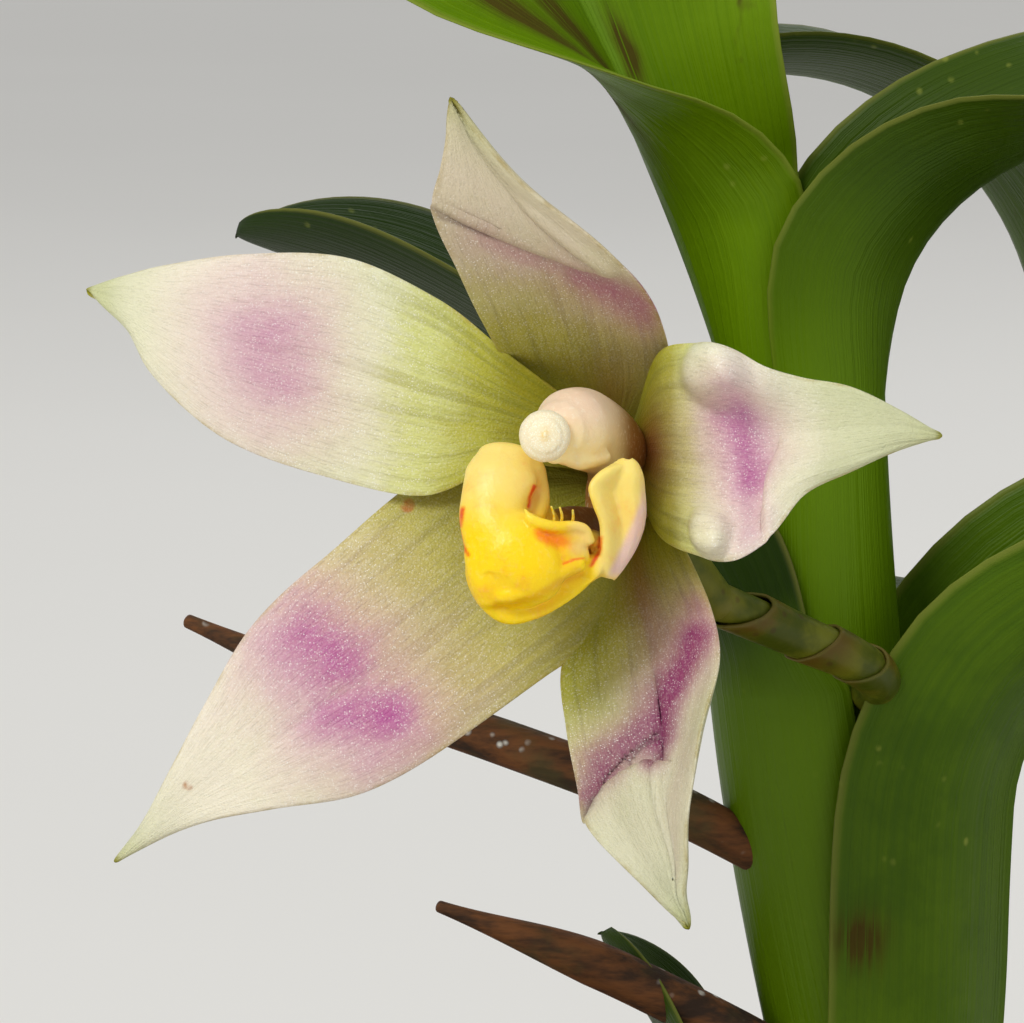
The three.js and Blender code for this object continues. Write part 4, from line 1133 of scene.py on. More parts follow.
TEPALS = {
    "petal_left": dict(
        rows=[
            [(-0.6, 6.3, 0.6), (0.0, 6.5, 1.7), (-0.4, 6.3, 3.0)],
            [(-4.4, 5.6, 0.8), (-4.1, 6.2, 3.0), (-4.0, 5.6, 5.5)],
            [(-8.0, 5.6, -0.6), (-7.6, 6.0, 3.9), (-7.3, 5.8, 8.2)],
            [(-12.6, 5.8, 0.2), (-12.0, 5.9, 5.2), (-11.4, 6.0, 10.2)],
            [(-17.3, 5.8, 2.0), (-16.7, 5.9, 6.3), (-16.2, 6.2, 10.4)],
            [(-20.6, 6.0, 5.0), (-20.3, 6.3, 7.5), (-20.0, 6.8, 9.9)],
            [(-21.5, 6.6, 6.7), (-21.8, 6.9, 8.1), (-21.7, 7.2, 9.5)],
            [(-23.5, 7.6, 8.7), (-23.6, 7.7, 8.8), (-23.5, 7.7, 8.9)],
        ],
        length=25,
        half=4.9,
        blotches=[([(0.51, -0.2), (0.53, 0.2)], 2.1, 1.1), ([(0.5, -0.5), (0.54, 0.5)], 2.9, 0.45)],
        spread=0.08,
    ),
    "petal_right": dict(
        rows=[
            [(1.7, 6.0, 2.9), (1.9, 6.2, 1.4), (1.7, 6.0, 0.0)],
            [(2.7, 3.6, 5.8), (3.0, 4.2, 1.4), (2.8, 3.4, -2.6)],
            [(4.2, 1.2, 6.2), (4.4, 1.8, 1.3), (4.6, 1.0, -3.4)],
            [(5.8, -1.0, 6.0), (6.1, 0.2, 1.2), (6.4, -1.2, -3.5)],
            [(7.4, -1.2, 5.1), (7.7, 0.3, 1.3), (7.8, -1.2, -2.5)],
            [(9.0, -1.0, 4.6), (9.4, -0.4, 1.6), (9.2, -1.35, -0.75)],
            [(11.2, -0.8, 4.2), (11.6, -0.5, 2.0), (11.4, -1.0, 0.4)],
            [(13.4, -0.3, 3.2), (13.6, -0.2, 2.2), (13.4, -0.4, 1.3)],
            [(15.3, 0.2, 2.1), (15.4, 0.2, 2.0), (15.3, 0.2, 1.9)],
        ],
        knobs=[
            ((0.34, -0.76), (0.1, 0.26), (-0.6, -1.5, 0.0)),
            ((0.305, 0.74), (0.055, 0.18), (-0.35, -1.3, 0.0)),
        ],
        bumps=[
            ((0.36, 0.85), (0.12, 0.3), (-0.4, -0.8, -0.1)),
            ((0.45, -0.74), (0.1, 0.28), (-0.2, -0.85, 0.0)),
        ],
        folds=[
            ([(0, 0.54), (0.35, 0.505), (0.7, 0.475), (1, 0.47)], 0.8, 0.3, 3.4, (-0.3, 0.5)),
        ],
        ridges=[([(0.43, -0.45), (0.42, 0.2), (0.43, 0.7)], 1.3, -0.3, 0.0)],
        rib=0.0,
        shift=(1.4, -0.02, 0.0),
        mauve=(0.95, 0.8, 0.95),
        length=14,
        half=4.8,
        blotches=[
            ([(0.4, -0.3), (0.405, -0.05), (0.42, 0.25)], 1.4, 1.55),
            ([(0.4, -0.6), (0.43, 0.8)], 1.05, 0.75),
        ],
        foot_shade=(((0.08, 0.0), (0.1, 0.5), 0.9),),
    ),
    "sepal_dorsal": dict(
        rows=[
            [(-0.6, 8.2, 2.4), (0.5, 8.5, 2.7), (1.7, 8.2, 2.6)],
            [(-3.9, 6.6, 5.0), (0.0, 6.9, 5.0), (3.2, 5.4, 5.0)],
            [(-5.2, 4.0, 7.0), (-0.5, 4.6, 7.2), (2.8, 2.6, 7.2)],
            [(-6.4, 1.0, 9.4), (-1.2, 2.4, 9.2), (1.9, 0.0, 8.7)],
            [(-7.6, -0.8, 12.3), (-2.1, 1.2, 10.6), (0.6, -1.2, 10.0)],
            [(-7.2, -0.9, 14.0), (-3.7, 0.2, 12.5), (-1.1, -1.3, 11.4)],
            [(-6.9, -0.6, 15.7), (-5.6, -0.2, 15.1), (-3.8, -1.0, 13.6)],
            [(-6.8, -0.4, 17.0), (-6.75, -0.4, 17.2), (-6.7, -0.4, 17.0)],
        ],
        folds=[([(-1, 0.565), (-0.5, 0.552), (0, 0.535), (0.6, 0.5)], 0.3, 0.3, 4, (1.0, 0.5))],
        ridges=[
            ([(0.86, -0.05), (0.72, 0.08), (0.62, 0.26), (0.55, 0.5)], 0.55, -0.22, 0.07),
            ([(0.72, 0.45), (0.6, 0.65), (0.54, 0.75)], 0.5, 0.16, 0.0),
            ([(0.566, -1), (0.55, -0.5)], 0.16, -0.12, 0.8),
            ([(0.548, -0.95), (0.538, -0.62)], 0.14, -0.1, 0.8),
            ([(0.6, -0.9), (0.592, -0.55)], 0.16, -0.05, 0.15),
        ],
        length=16,
        half=4.4,
        blotches=[
            ([(0.37, 0.78), (0.42, 0.45), (0.46, 0.15)], 1.5, 1.3),
            ([(0.46, 0.15), (0.5, -0.25), (0.52, -0.6)], 0.95, 0.9),
            ([(0.42, 0.4), (0.48, -0.7)], 2.1, 0.45),
        ],
        foot_shade=(((0.1, 0.2), (0.13, 0.45), 0.45),),
        shift=(0.86, -0.03, 0.0),
        painted_shade=(0.74, 0.69, 0.62),
        mauve=(1.0, 0.66, 0.88),
    ),
    "sepal_left": dict(
        rows=[
            [(-0.4, 7.8, 0.3), (0.4, 8.2, -0.4), (1.0, 8.2, -1.2)],
            [(-5.2, 7.2, 0.4), (-2.6, 7.2, -2.6), (0.4, 7.0, -5.4)],
            [(-9.2, 6.4, -1.4), (-5.9, 6.0, -5.4), (-2.8, 5.8, -8.7)],
            [(-12.9, 5.6, -3.8), (-9.5, 5.2, -8.2), (-6.5, 5.2, -11.9)],
            [(-15.9, 5.0, -6.7), (-13.1, 4.7, -10.7), (-10.8, 4.6, -14.3)],
            [(-18.0, 4.6, -10.2), (-16.2, 4.6, -12.9), (-14.9, 4.2, -15.0)],
            [(-19.6, 4.8, -13.2), (-18.7, 4.9, -14.6), (-17.9, 4.6, -15.6)],
            [(-20.9, 5.4, -15.6), (-20.6, 5.4, -16.1), (-20.2, 5.4, -16.5)],
            [(-22.2, 6.0, -17.4), (-22.2, 6.0, -17.5), (-22.1, 6.0, -17.5)],
        ],
        length=29,
        half=5.4,
        blotches=[
            ([(0.45, -0.6), (0.44, -0.22)], 1.95, 0.85),
            ([(0.468, 0.14), (0.43, 0.42)], 1.85, 0.85),
            ([(0.45, -0.7), (0.44, 0.6)], 3.1, 0.5),
        ],
        shift=(0.86, -0.02, 0.0),
        spread=0.25,
    ),
    "sepal_right": dict(
        rows=[
            [(0.9, 8.0, -1.9), (1.8, 8.2, -1.3), (2.6, 8.0, -0.7)],
            [(-0.7, 7.4, -6.0), (1.8, 6.6, -4.6), (4.0, 5.0, -3.2)],
            [(-1.7, 6.0, -8.6), (2.3, 5.0, -7.2), (5.1, 2.8, -5.9)],
            [(-1.5, 4.0, -11.3), (2.7, 3.4, -10.0), (5.4, 0.8, -8.0)],
            [(-1.0, 1.8, -14.0), (2.8, 2.2, -12.7), (4.5, -0.8, -11.3)],
            [(-0.6, -0.6, -15.8), (2.4, 1.2, -14.5), (4.0, -1.4, -14.4)],
            [(1.1, -1.8, -17.5), (2.9, -0.8, -17.0), (3.8, -1.8, -17.1)],
            [(2.7, -1.9, -19.0), (3.4, -1.6, -18.8), (3.8, -1.9, -18.7)],
            [(3.9, -2.0, -20.0), (3.95, -2.0, -20.1), (4.0, -2.0, -20.0)],
        ],
        folds=[
            (
                [(-1, 0.6), (-0.75, 0.555), (-0.5, 0.532), (-0.1, 0.522), (0.1, 0.54)],
                0.75, 0.22, 4.5, (0.45, 0.05),
            ),
        ],
        ridges=[
            ([(0.5, 0.0), (0.6, 0.06), (0.8, 0.12)], 0.3, -0.3, 0.1),
            ([(0.57, -0.78), (0.5, -0.72), (0.465, -0.45), (0.44, -0.05)], 0.14, -0.12, 0.55),
            ([(0.505, -0.4), (0.48, -0.42), (0.465, -0.25), (0.455, -0.03)], 0.12, -0.1, 0.5),
            ([(0.33, 0.0), (0.42, 0.05), (0.53, 0.06)], 0.3, -0.2, 0.1),
            ([(0.58, -0.92), (0.55, -0.85)], 0.3, -0.05, 0.7),
        ],
        length=22,
        half=3.4,
        blotches=[
            ([(0.24, 0.8), (0.29, 0.7)], 0.9, 0.5),
            ([(0.3, 0.66), (0.345, 0.45), (0.39, 0.14), (0.45, 0.02)], 1.15, 1.15),
            ([(0.45, 0.02), (0.53, 0.02)], 0.7, 0.9),
            ([(0.41, -0.05), (0.43, -0.22), (0.46, -0.68), (0.52, -0.8)], 1.0, 0.9),
            ([(0.3, 0.85), (0.55, 0.7), (0.8, 0.6)], 0.9, 0.16),
            ([(0.43, -0.2), (0.43, -0.22)], 0.8, 0.4),
        ],
        foot_shade=(((0.14, 0.05), (0.16, 0.4), 0.5), ((0.2, 0.12), (0.14, 0.16), 0.4)),
        shift=(0.9, -0.02, 0.05),
        painted_shade=(0.76, 0.78, 0.7),
        mauve=(0.66, 0.55, 0.52),
    ),
}


def tepal_surface(tepal, u, v):
    """The middle surface: a parabola through the two edges and the rib at each u, pushed out at the bumps,
    and further and more steeply at the knobs.

    Near its base it is wider than its edges by the spread, so that neighbours close the flower's throat.
    """
    edge_a, rib, edge_b = (spline([row[k] for row in tepal["rows"]], u)[:, None] for k in range(3))
    w = (v[None] * (1 + tepal["spread"] * (1 - ease(u, 0.1, 0.38)))[:, None])[..., None]
    p = rib * (1 - w * w) + edge_a * (w * w - w) / 2 + edge_b * (w * w + w) / 2
    for kind, steepness in (("bumps", 1), ("knobs", 2.4)):
        for at, size, push in tepal[kind]:
            far = ((u[:, None] - at[0]) / size[0]) ** 2 + ((v[None] - at[1]) / size[1]) ** 2
            p = p + np.exp(-(far**steepness))[..., None] * np.array(push)
    return p


def from_line(tepal, u, v, line):
    """How far each point of a petal is from a line of (u, v), in millimetres."""
    x, y = np.broadcast_arrays(u[:, None] * tepal["length"], v[None] * tepal["half"])
    return line_distance(x, y, [(a * tepal["length"], b * tepal["half"]) for a, b in line])


def line_distance(x, y, line):
    """The distance to the nearest piece of a line of points."""
    least = np.full(np.shape(x), 1e9)
    for (x0, y0), (x1, y1) in zip(line[:-1], line[1:]):
        length = (x1 - x0) ** 2 + (y1 - y0) ** 2
        t = np.clip(((x - x0) * (x1 - x0) + (y - y0) * (y1 - y0)) / length, 0, 1)
        least = np.minimum(least, np.hypot(x - x0 - t * (x1 - x0), y - y0 - t * (y1 - y0)))
    return least


def tepal_relief(tepal, u, v, seed):
    """How far the fine surface lies in front of the plain one, in millimetres.

    It has slight seeded waves, a groove along the rib, ridges that fall as exp(-(distance over width)
    squared), and folds, beyond which it steps forward and sinks back over the reach. Folds run out softly
    towards both edges.
    """
    inside = ease(u, 0.05, 0.3)[:, None] * (1 - ease(u, 0.86, 1))[:, None]
    relief = 0.07 * ripple(22 * u[:, None], 5 * v[None], seed) * inside
    groove = tepal["rib"] * np.exp(-((v / 0.07) ** 2))[None]
    relief = relief - groove * inside * (1 - ease(u, 0.4, 0.75))[:, None]
    for line, width, height, _ in tepal["ridges"]:
        relief = relief + height * np.exp(-((from_line(tepal, u, v, line) / width) ** 2))
    for line, forward, width, reach, fade in tepal["folds"]:
        beyond = (u[:, None] - listed(line, v)[None]) * tepal["length"]
        window = (ease(v, *fade) if fade[0] < fade[1] else 1 - ease(v, fade[1], fade[0]))[None]
        window = window * (1 - 0.75 * ease(np.abs(v), 0.7, 1))
        sink = np.exp(-((np.maximum(beyond, 0) / reach) ** 2))
        relief = relief + forward * window * ease(beyond, 0, width) * sink
    return relief


def tepal_body(tepal, thickness, seed):
    """A petal's places and half thickness, full along the rib and rounded off at its edges and tip, and its
    marks: how mauve, how pink around the mauve and how dark the painted shade in its wrinkles is."""
    u = np.unique(np.concatenate([np.linspace(0, 1, TEPAL_ROWS), 1 - 0.02 * np.linspace(0, 1, 6) ** 2]))
    v = np.sin(np.linspace(-1, 1, TEPAL_COLUMNS) * np.pi / 2)
    surface = tepal_surface(tepal, u, v)
    normal = unit(np.cross(np.gradient(surface, axis=0), np.gradient(surface, axis=1)))
    normal = normal * np.where(normal[..., 1:2] > 0, -1, 1)
    surface = surface + normal * tepal_relief(tepal, u, v, seed)[..., None]
    margin = np.maximum(1 - np.abs(v) ** 5, 0) ** 0.5 * (1 - 0.3 * v**2)
    tip = np.maximum(1 - u**30, 0)[:, None] ** 0.5
    marks = {"mauve": 0.0, "pink": 0.0, "wrinkle": 0.0}
    for line, radius, strength in tepal["blotches"]:
        far = from_line(tepal, u, v, line)
        marks["mauve"] = np.maximum(marks["mauve"], strength * np.exp(-((far / radius) ** 2)))
        marks["pink"] = np.maximum(marks["pink"], strength * np.exp(-((far / (1.9 * radius)) ** 2)))
    # Painted shade in the creases along the ridges.
    for line, width, _, dark in tepal["ridges"]:
        marks["wrinkle"] = marks["wrinkle"] + dark * np.exp(-((from_line(tepal, u, v, line) / width) ** 2))
    # The back has the same marks at half their strength.
    loop = {}
    for name, mark in marks.items():
        if np.ndim(mark):
            loop[name] = np.concatenate([mark, mark[:, -2:0:-1] * 0.5], axis=1)
    return (from_flower(surface), 0.5 * thickness * margin * np.maximum(tip, 0.15), u, v), loop


def tepal_finish(name, s, tepal):
    """A petal's skin: olive foot with painted shade, pale middle with faint veins, mauve blotches, greenish
    tip partly darkened by painted shade, painted shade in its creases, and painted glints and pale cells for
    its sparkle."""
    f = Finish(name, roughness=0.45, specular_ior_level=0.35, subsurface_weight=0.12, subsurface_scale=0.0006)
    f.shader.inputs["Subsurface Radius"].default_value = (1.0, 0.9, 0.6)
    along, half, form = f.form_place()
    place = f.object_place()
    across = half * 2 - 1
    cloud = f.noise(place, 330, 4, 0.6)
    dashes = f.noise(f.stretched(form, (34, 130, 1)), 1, 3, 0.6)
    fine = f.noise(place, 900, 3, 0.6)
    streak = f.noise(f.stretched(form, (2.5, 34, 1)), 1, 3, 0.6)
    vein = f.noise(f.stretched(form, (1.6, 15, 1)), 1, 2, 0.5)
    scale, start, slant = tepal["shift"]
    u = f.math("MINIMUM", along * scale + across * slant + start, 0.93)
    u = u + (cloud - 0.5) * 0.1 + (streak - 0.5) * 0.1
    pale = tuple(s.pale)
    olive = tuple(s.olive)
    # Painted shade: the foot is darkest, a darker copy of the olive, where it lies deep in the flower.
    deep = tuple(c * 0.55 for c in olive)
    mauve = tuple(a * b for a, b in zip(s.mauve, tepal["mauve"]))
    stops = [
        (0, deep),
        (0.12, olive),
        (0.22, srgb(182, 182, 56)),
        (0.3, srgb(212, 218, 130)),
        (0.39, srgb(232, 236, 194)),
        (0.58, pale),
        # The last stops, towards the tip, are partly its own duller green and partly painted shade where it
        # bends away.
        (0.8, srgb(222, 221, 188)),
        (1, srgb(200, 204, 158)),
    ]
    body = f.ramp(u, stops)
    # Towards the tip: a duller green, partly its own and partly painted shade.
    body = f.blend(f.step(along, 0.86, 0.97) * 0.5, body, srgb(204, 208, 150))
    body = f.blend(f.step(along, 0.965, 1), body, srgb(160, 158, 22))
    body = f.blend(f.step(vein, 0.48, 0.62) * f.step(u, 0.52, 0.12) * 0.5, body, srgb(128, 130, 24))
    body = f.blend(f.step(streak, 0.5, 0.62) * f.step(u, 0.6, 0.1) * 0.25, body, srgb(140, 144, 42))
    # Painted shade: brown spots near the foot, where the throat is in shade.
    for at, size, strength in tepal["foot_shade"]:
        body = f.blend(f.spot(along, across, at, size) * strength, body, srgb(122, 62, 2))
    uneven = 0.3 + cloud * 0.9 + dashes * 0.5
    body = f.blend(f.math("MULTIPLY", f.mark("pink") * 0.62, uneven, clamp=True), body, srgb(226, 178, 200))
    body = f.blend(f.math("MULTIPLY", f.mark("mauve"), uneven, clamp=True), body, mauve)
    # Painted shade in the creases.
    body = f.blend(f.mark("wrinkle"), body, srgb(92, 60, 72))
    edge = f.step(f.math("ABSOLUTE", across), 0.94, 1.0) * f.step(fine, 0.35, 0.7)
    body = f.blend(edge * 0.55, body, srgb(172, 150, 70))
    body = f.blend(f.step(dashes, 0.5, 0.68) * 0.3, body, srgb(178, 182, 160), how="MULTIPLY")
    # Painted sparkle: pale cells that stand for the glitter of the cells.
    painted_sparkle = f.step(f.cells(place, 14000, out=1), 0.5, 1.0)
    painted_sparkle = painted_sparkle * f.step(along, 0.95, 0.5) * f.step(along, 0.06, 0.3)
    body = f.blend(painted_sparkle * 0.2, body, srgb(254, 254, 248))
    # Painted shade: the whole sepal beyond the foot is made darker where it lies in shade.
    if tepal["painted_shade"]:
        body = f.blend(f.step(along, 0.2, 0.5), body, tepal["painted_shade"], how="MULTIPLY")
    # Painted highlights: white glints painted into the colour of chosen cells, which are also made shinier.
    cell = f.cells(place, 9500)
    chosen = f.step(f.cells(place, 9500, out=1), 0.4, 0.75)
    glint = f.step(cell, 0.42, 0.05) * chosen * f.step(along, 0.8, 0.4) * f.step(along, 0.18, 0.36)
    body = f.blend(glint * 0.8, body, srgb(255, 255, 250))
    specks = f.step(f.cells(place, 150), 0.07, 0.045) * f.step(cloud, 0.48, 0.56)
    body = f.blend(specks * 0.85, body, srgb(176, 108, 40))
    bump = f.relief(streak + vein, 0.05)
    bump = f.relief(cell, 0.03, strength=0.8, under=bump)
    return f.done(base_color=body, roughness=0.5 - glint * 0.3, normal=bump)


class ORCHID_OT_tepals(bpy.types.Operator):
    """Makes the two petals and three sepals"""

    bl_idname = "orchid.tepals"
    bl_label = "Petals and sepals"

    def execute(self, context):
        s = context.scene.orchid.flower
        for seed, (node, own) in enumerate(TEPALS.items()):
            tepal = {**TEPAL, **own}
            form = Form()
            sheet, marks = tepal_body(tepal, s.thickness / MM, seed)
            add_sheet(form, *sheet, **marks)
            piece = form.piece(f"fine_{node}")
            dressed(piece, [node], tepal_finish(f"{node}_skin", s, tepal))
        return {"FINISHED"}


# Column, anther cap, lip and ovary

COLUMN_LINE = [
    (1.1, 7.8, 0.2, 1.5),
    (0.6, 4.8, 1.55, 1.5, 1.1),
    (-0.75, 1.4, 2.3, 1.72, 1.08),
    (-1.35, -1.1, 2.35, 1.72, 1.02),
    (-1.75, -1.9, 2.25, 1.35),
]
COLUMN_FOOT = [(1.2, 7.6, 1.2, 1.5), (1.0, 7.2, -0.6, 1.6), (0.6, 6.6, -2.2, 1.3)]
COLUMN_LOBES = [
    [(-2.45, -2.3, 1.35, 0.34), (-2.15, -2.2, 1.0, 0.3), (-1.7, -2.0, 1.05, 0.3)],
    [(-1.6, -1.9, 1.2, 0.5), (-1.0, -1.6, 0.95, 0.5), (-0.3, -1.1, 0.95, 0.42), (0.2, -0.7, 1.05, 0.36)],
]
COLLAR = [(-1.75, -2.1, 3.05, 0.3), (-1.25, -2.1, 2.3, 0.42), (-1.35, -2.2, 1.5, 0.36)]
CAP_CENTRE = np.array([-2.5, -3.1, 1.95])
CAP_RADIUS = 1.15
CAP_SCALE = np.array([1, 0.9, 1.02])
CAP_ROWS = 48
CAP_SIDES = 72
LIP_SHEET_ROWS = 50
LIP_SHEET_COLUMNS = 25
LIP_GRID = (60, 40)
FILAMENT_GRID = (12, 10)
COLUMN_GRID = (36, 32)
WELD_VOXEL = 0.09
OVARY_LINE = [
    (1.3, 9.2, 0.4, 1.7),
    (2.2, 11.6, -0.9, 1.5),
    (3.8, 13.8, -3.4, 1.15),
    (5.8, 15.4, -5.8, 0.95),
]

# Sheets of the lip, as rows from base to end of (edge, middle, other edge), with their bumps and thickness.
LIP_SHEETS = {
    "trough": dict(
        rows=[
            [(0.2, 5.6, -1.3), (0.8, 5.6, -2.8), (2.0, 5.4, -1.6)],
            [(-1.6, 3.2, -1.2), (0.0, 3.0, -3.2), (1.9, 2.6, -1.7)],
            [(-3.2, 0.4, -2.0), (-1.2, 0.0, -4.0), (1.2, -0.4, -2.6)],
            [(-3.8, -1.4, -3.0), (-2.2, -1.9, -4.6), (0.0, -1.8, -3.6)],
        ],
        thick=1.1,
    ),
    "right_lobe": dict(
        rows=[
            [(1.05, -1.2, 0.76), (1.15, -1.1, 0.78), (1.25, -1.0, 0.76)],
            [(0.62, -1.6, 0.66), (1.1, -1.2, 0.66), (1.6, -0.7, 0.56)],
            [(0.1, -2.0, 0.42), (1.0, -1.3, 0.3), (1.84, -0.45, 0.1)],
            [(-0.5, -2.25, -0.25), (0.75, -1.2, -0.45), (1.98, -0.2, -0.65)],
            [(-0.32, -2.3, -1.1), (0.9, -1.1, -1.3), (1.98, 0.0, -1.5)],
            [(0.0, -2.2, -1.9), (0.95, -1.0, -2.1), (1.82, 0.1, -2.3)],
            [(0.05, -2.0, -2.9), (0.8, -1.0, -3.0), (1.45, 0.1, -3.1)],
            [(0.05, -1.7, -3.8), (0.5, -1.0, -3.9), (0.92, -0.1, -3.8)],
            [(0.15, -1.3, -4.35), (0.3, -1.0, -4.4), (0.45, -0.7, -4.3)],
        ],
        bumps=[((0.45, -0.35), (0.3, 0.35), (0.1, 0.45, 0)), ((0.5, 0.45), (0.35, 0.3), (0.2, -0.55, 0))],
        thick=0.62,
    ),
}
# The lip's thick parts: stations (x, y, z, radius, flatness) and the direction in which each is flattened.
LIP_PARTS = {
    "left_lobe_and_pillow": (
        [
            (-4.25, -0.85, 1.15, 1.25, 0.66), (-4.3, -1.0, 0.75, 1.46, 0.62),
            (-4.45, -1.35, 0.1, 1.64, 0.6), (-4.75, -1.7, -0.9, 1.5, 0.65), (-4.8, -2.0, -1.9, 1.5, 0.7),
            (-4.15, -2.3, -3.1, 2.1, 0.66), (-3.8, -2.4, -4.1, 2.25, 0.62), (-4.1, -2.3, -4.9, 1.5, 0.68),
            (-4.3, -2.2, -5.3, 0.8, 0.75),
        ],
        (0.1, 1, 0),
    ),
    "rolled_margin": (
        [
            (-3.95, -0.9, 0.7, 0.6, 1), (-3.25, -0.75, 0.4, 0.78, 1), (-2.95, -0.45, -0.2, 0.62, 1),
            (-2.85, -0.5, -1.0, 0.6, 1), (-2.9, -0.9, -1.7, 0.45, 1),
        ],
        (0, 1, 0),
    ),
    "left_wall": (
        [
            (-2.4, 1.6, -1.8, 1.0, 0.7), (-3.9, 0.3, -2.4, 1.5, 0.7), (-4.3, -0.5, -1.2, 1.5, 0.62),
        ],
        (0.35, 1, 0),
    ),
    "pillow_right": (
        [
            (-3.6, -2.2, -3.6, 1.0, 0.8), (-2.4, -2.35, -3.6, 0.95, 0.8), (-1.5, -2.2, -3.4, 0.85, 0.75),
            (-0.85, -1.95, -3.15, 0.72, 0.65),
        ],
        (0, 1, 0.2),
    ),
    "pillow_core": (
        [
            (-2.0, -0.6, -3.6, 1.8, 0.5), (-3.0, -1.4, -3.9, 2.0, 0.55), (-3.6, -1.8, -4.6, 1.5, 0.6),
        ],
        (0.1, 1, 0.5),
    ),
    "callus_ridge": (
        [
            (-3.4, -3.3, -1.3, 0.07, 1), (-3.16, -3.4, -1.7, 0.22, 1), (-2.7, -3.35, -1.95, 0.27, 1),
            (-1.95, -3.05, -2.1, 0.27, 1), (-1.25, -2.75, -2.06, 0.24, 1), (-0.72, -2.5, -2.22, 0.24, 1),
            (-0.5, -2.3, -2.75, 0.26, 1),
        ],
        (0, 1, 0),
    ),
    "callus_face": (
        [
            (-3.1, -2.9, -2.1, 0.34, 0.8), (-2.5, -2.75, -2.5, 0.58, 0.6), (-1.6, -2.5, -2.55, 0.6, 0.6),
            (-0.85, -2.25, -2.75, 0.52, 0.6),
        ],
        (0, 1, 0),
    ),
    "callus": (
        [
            (-0.6, 2.6, -2.6, 0.8, 0.5), (-1.4, -0.4, -2.9, 1.2, 0.4), (-1.9, -1.9, -2.85, 1.3, 0.36),
        ],
        (0, 0.3, 1),
    ),
    "left_cheek": (
        [
            (-5.05, -2.1, -2.4, 1.0, 0.8), (-5.05, -2.4, -3.4, 1.05, 0.8), (-4.9, -2.5, -4.5, 0.98, 0.8),
            (-4.75, -2.3, -5.3, 0.82, 0.8),
        ],
        (0, 1, 0),
    ),
    "overhang": (
        [
            (-4.75, -2.7, -5.1, 0.36, 1), (-4.1, -3.0, -5.1, 0.46, 1), (-2.9, -2.95, -4.68, 0.48, 1),
            (-1.9, -2.7, -4.1, 0.46, 1), (-0.95, -2.25, -3.75, 0.4, 1),
        ],
        (0, 1, 0),
    ),
    "rim": (
        [
            (-5.1, -1.9, -3.2, 0.9, 0.9), (-5.2, -2.2, -4.2, 0.85, 0.85), (-4.9, -2.25, -5.05, 0.78, 0.7),
            (-4.15, -2.0, -5.82, 0.66, 0.55), (-3.0, -1.8, -5.62, 0.66, 0.5),
            (-1.9, -1.6, -5.05, 0.64, 0.5), (-0.95, -1.4, -4.35, 0.6, 0.5), (-0.35, -1.45, -3.6, 0.5, 0.5),
        ],
        (0.2, 1, -0.3),
    ),
}
FILAMENTS = [
    [(-2.12, -1.2, -2.1, 0.07), (-2.08, -1.5, -1.62, 0.06), (-2.2, -1.7, -1.2, 0.05)],
    [(-1.78, -1.2, -2.1, 0.08), (-1.72, -1.5, -1.62, 0.07), (-1.82, -1.7, -1.24, 0.05)],
    [(-1.3, -1.2, -2.1, 0.08), (-1.22, -1.5, -1.7, 0.07), (-1.24, -1.7, -1.36, 0.05)],
]
# Lines of colour on the lip, as seen from the front: points (x, z), half-width and which mark they belong to.
LIP_STREAKS = [
    ([(-2.96, -0.3), (-3.16, -0.75), (-3.22, -1.2)], 0.12, "red"),
    ([(-6.16, -1.3), (-6.27, -2.07)], 0.17, "red"),
    ([(-6.3, -2.31), (-6.2, -2.88), (-5.9, -3.35)], 0.15, "red"),
    ([(0.02, -2.6), (-0.05, -3.2), (-0.42, -3.86)], 0.14, "red"),
    ([(-2.75, -2.4), (-2.3, -2.66), (-1.85, -2.74)], 0.42, "orange"),
    ([(-1.66, -3.74), (-1.18, -3.56), (-0.75, -3.5)], 0.07, "orange"),
]
# Where the pillow turns under, which gets a line of painted shade, where the callus ends, both as points (x,
# z), and for heights z the x beyond which the outside of the right lobe is seen.
LIP_UNDERSIDE = [(-4.7, -5.62), (-3.92, -5.56), (-2.85, -5.18), (-1.9, -4.6), (-0.9, -4.2)]
CALLUS_END = [(-1.0, -2.2), (-0.7, -2.4), (-0.6, -2.9), (-1.0, -3.0)]
RIGHT_LOBE_OUTSIDE = ((-4.6, 0.1), (-3.2, 0.8), (-2, 1.35), (-1, 1.75), (0, 1.8), (1, 1.5))


def welded(obj, smoothing):
    """Joins a piece's overlapping bodies into one skin, smooths it, and gives its points in millimetres."""
    remesh = obj.modifiers.new("weld", "REMESH")
    remesh.mode = "VOXEL"
    remesh.voxel_size = WELD_VOXEL * MM
    smooth = obj.modifiers.new("smooth", "SMOOTH")
    smooth.factor, smooth.iterations = 0.5, smoothing
    settled(obj)
    points = np.empty(len(obj.data.vertices) * 3)
    obj.data.vertices.foreach_get("co", points)
    return points.reshape(-1, 3) / MM


def flower_tube(form, stations, rings, sides, flat=None, **marks):
    """Adds a tube whose stations, and the way in which it is flattened, are in the flower's frame."""
    line = np.array([(list(station) + [1.0])[:5] for station in stations])
    placed = np.column_stack([from_flower(line[:, :3]), line[:, 3:]])
    way = (0, 1, 0) if flat is None else from_flower(np.array(flat, float)) - FLOWER_PLACE
    add_tube(form, placed.tolist(), rings, sides, flat=way, **marks)


def to_flower(points):
    """The flower's own frame from places on the plant."""
    x, y, z = np.moveaxis(points - FLOWER_PLACE, -1, 0)
    c, s = math.cos(FLOWER_NOD), math.sin(FLOWER_NOD)
    return np.stack([x, c * y - s * z, s * y + c * z], -1)


def near_line(x, z, line, width):
    """1 on a line of points and falling smoothly to 0 at its width."""
    return 1 - ease(line_distance(x, z, line), 0.1 * width, 1.5 * width)


def waxy(name, **constants):
    """A finish that lets some light through, as the lip and the column do."""
    return Finish(name, subsurface_weight=0.25, subsurface_scale=0.0012, **constants)


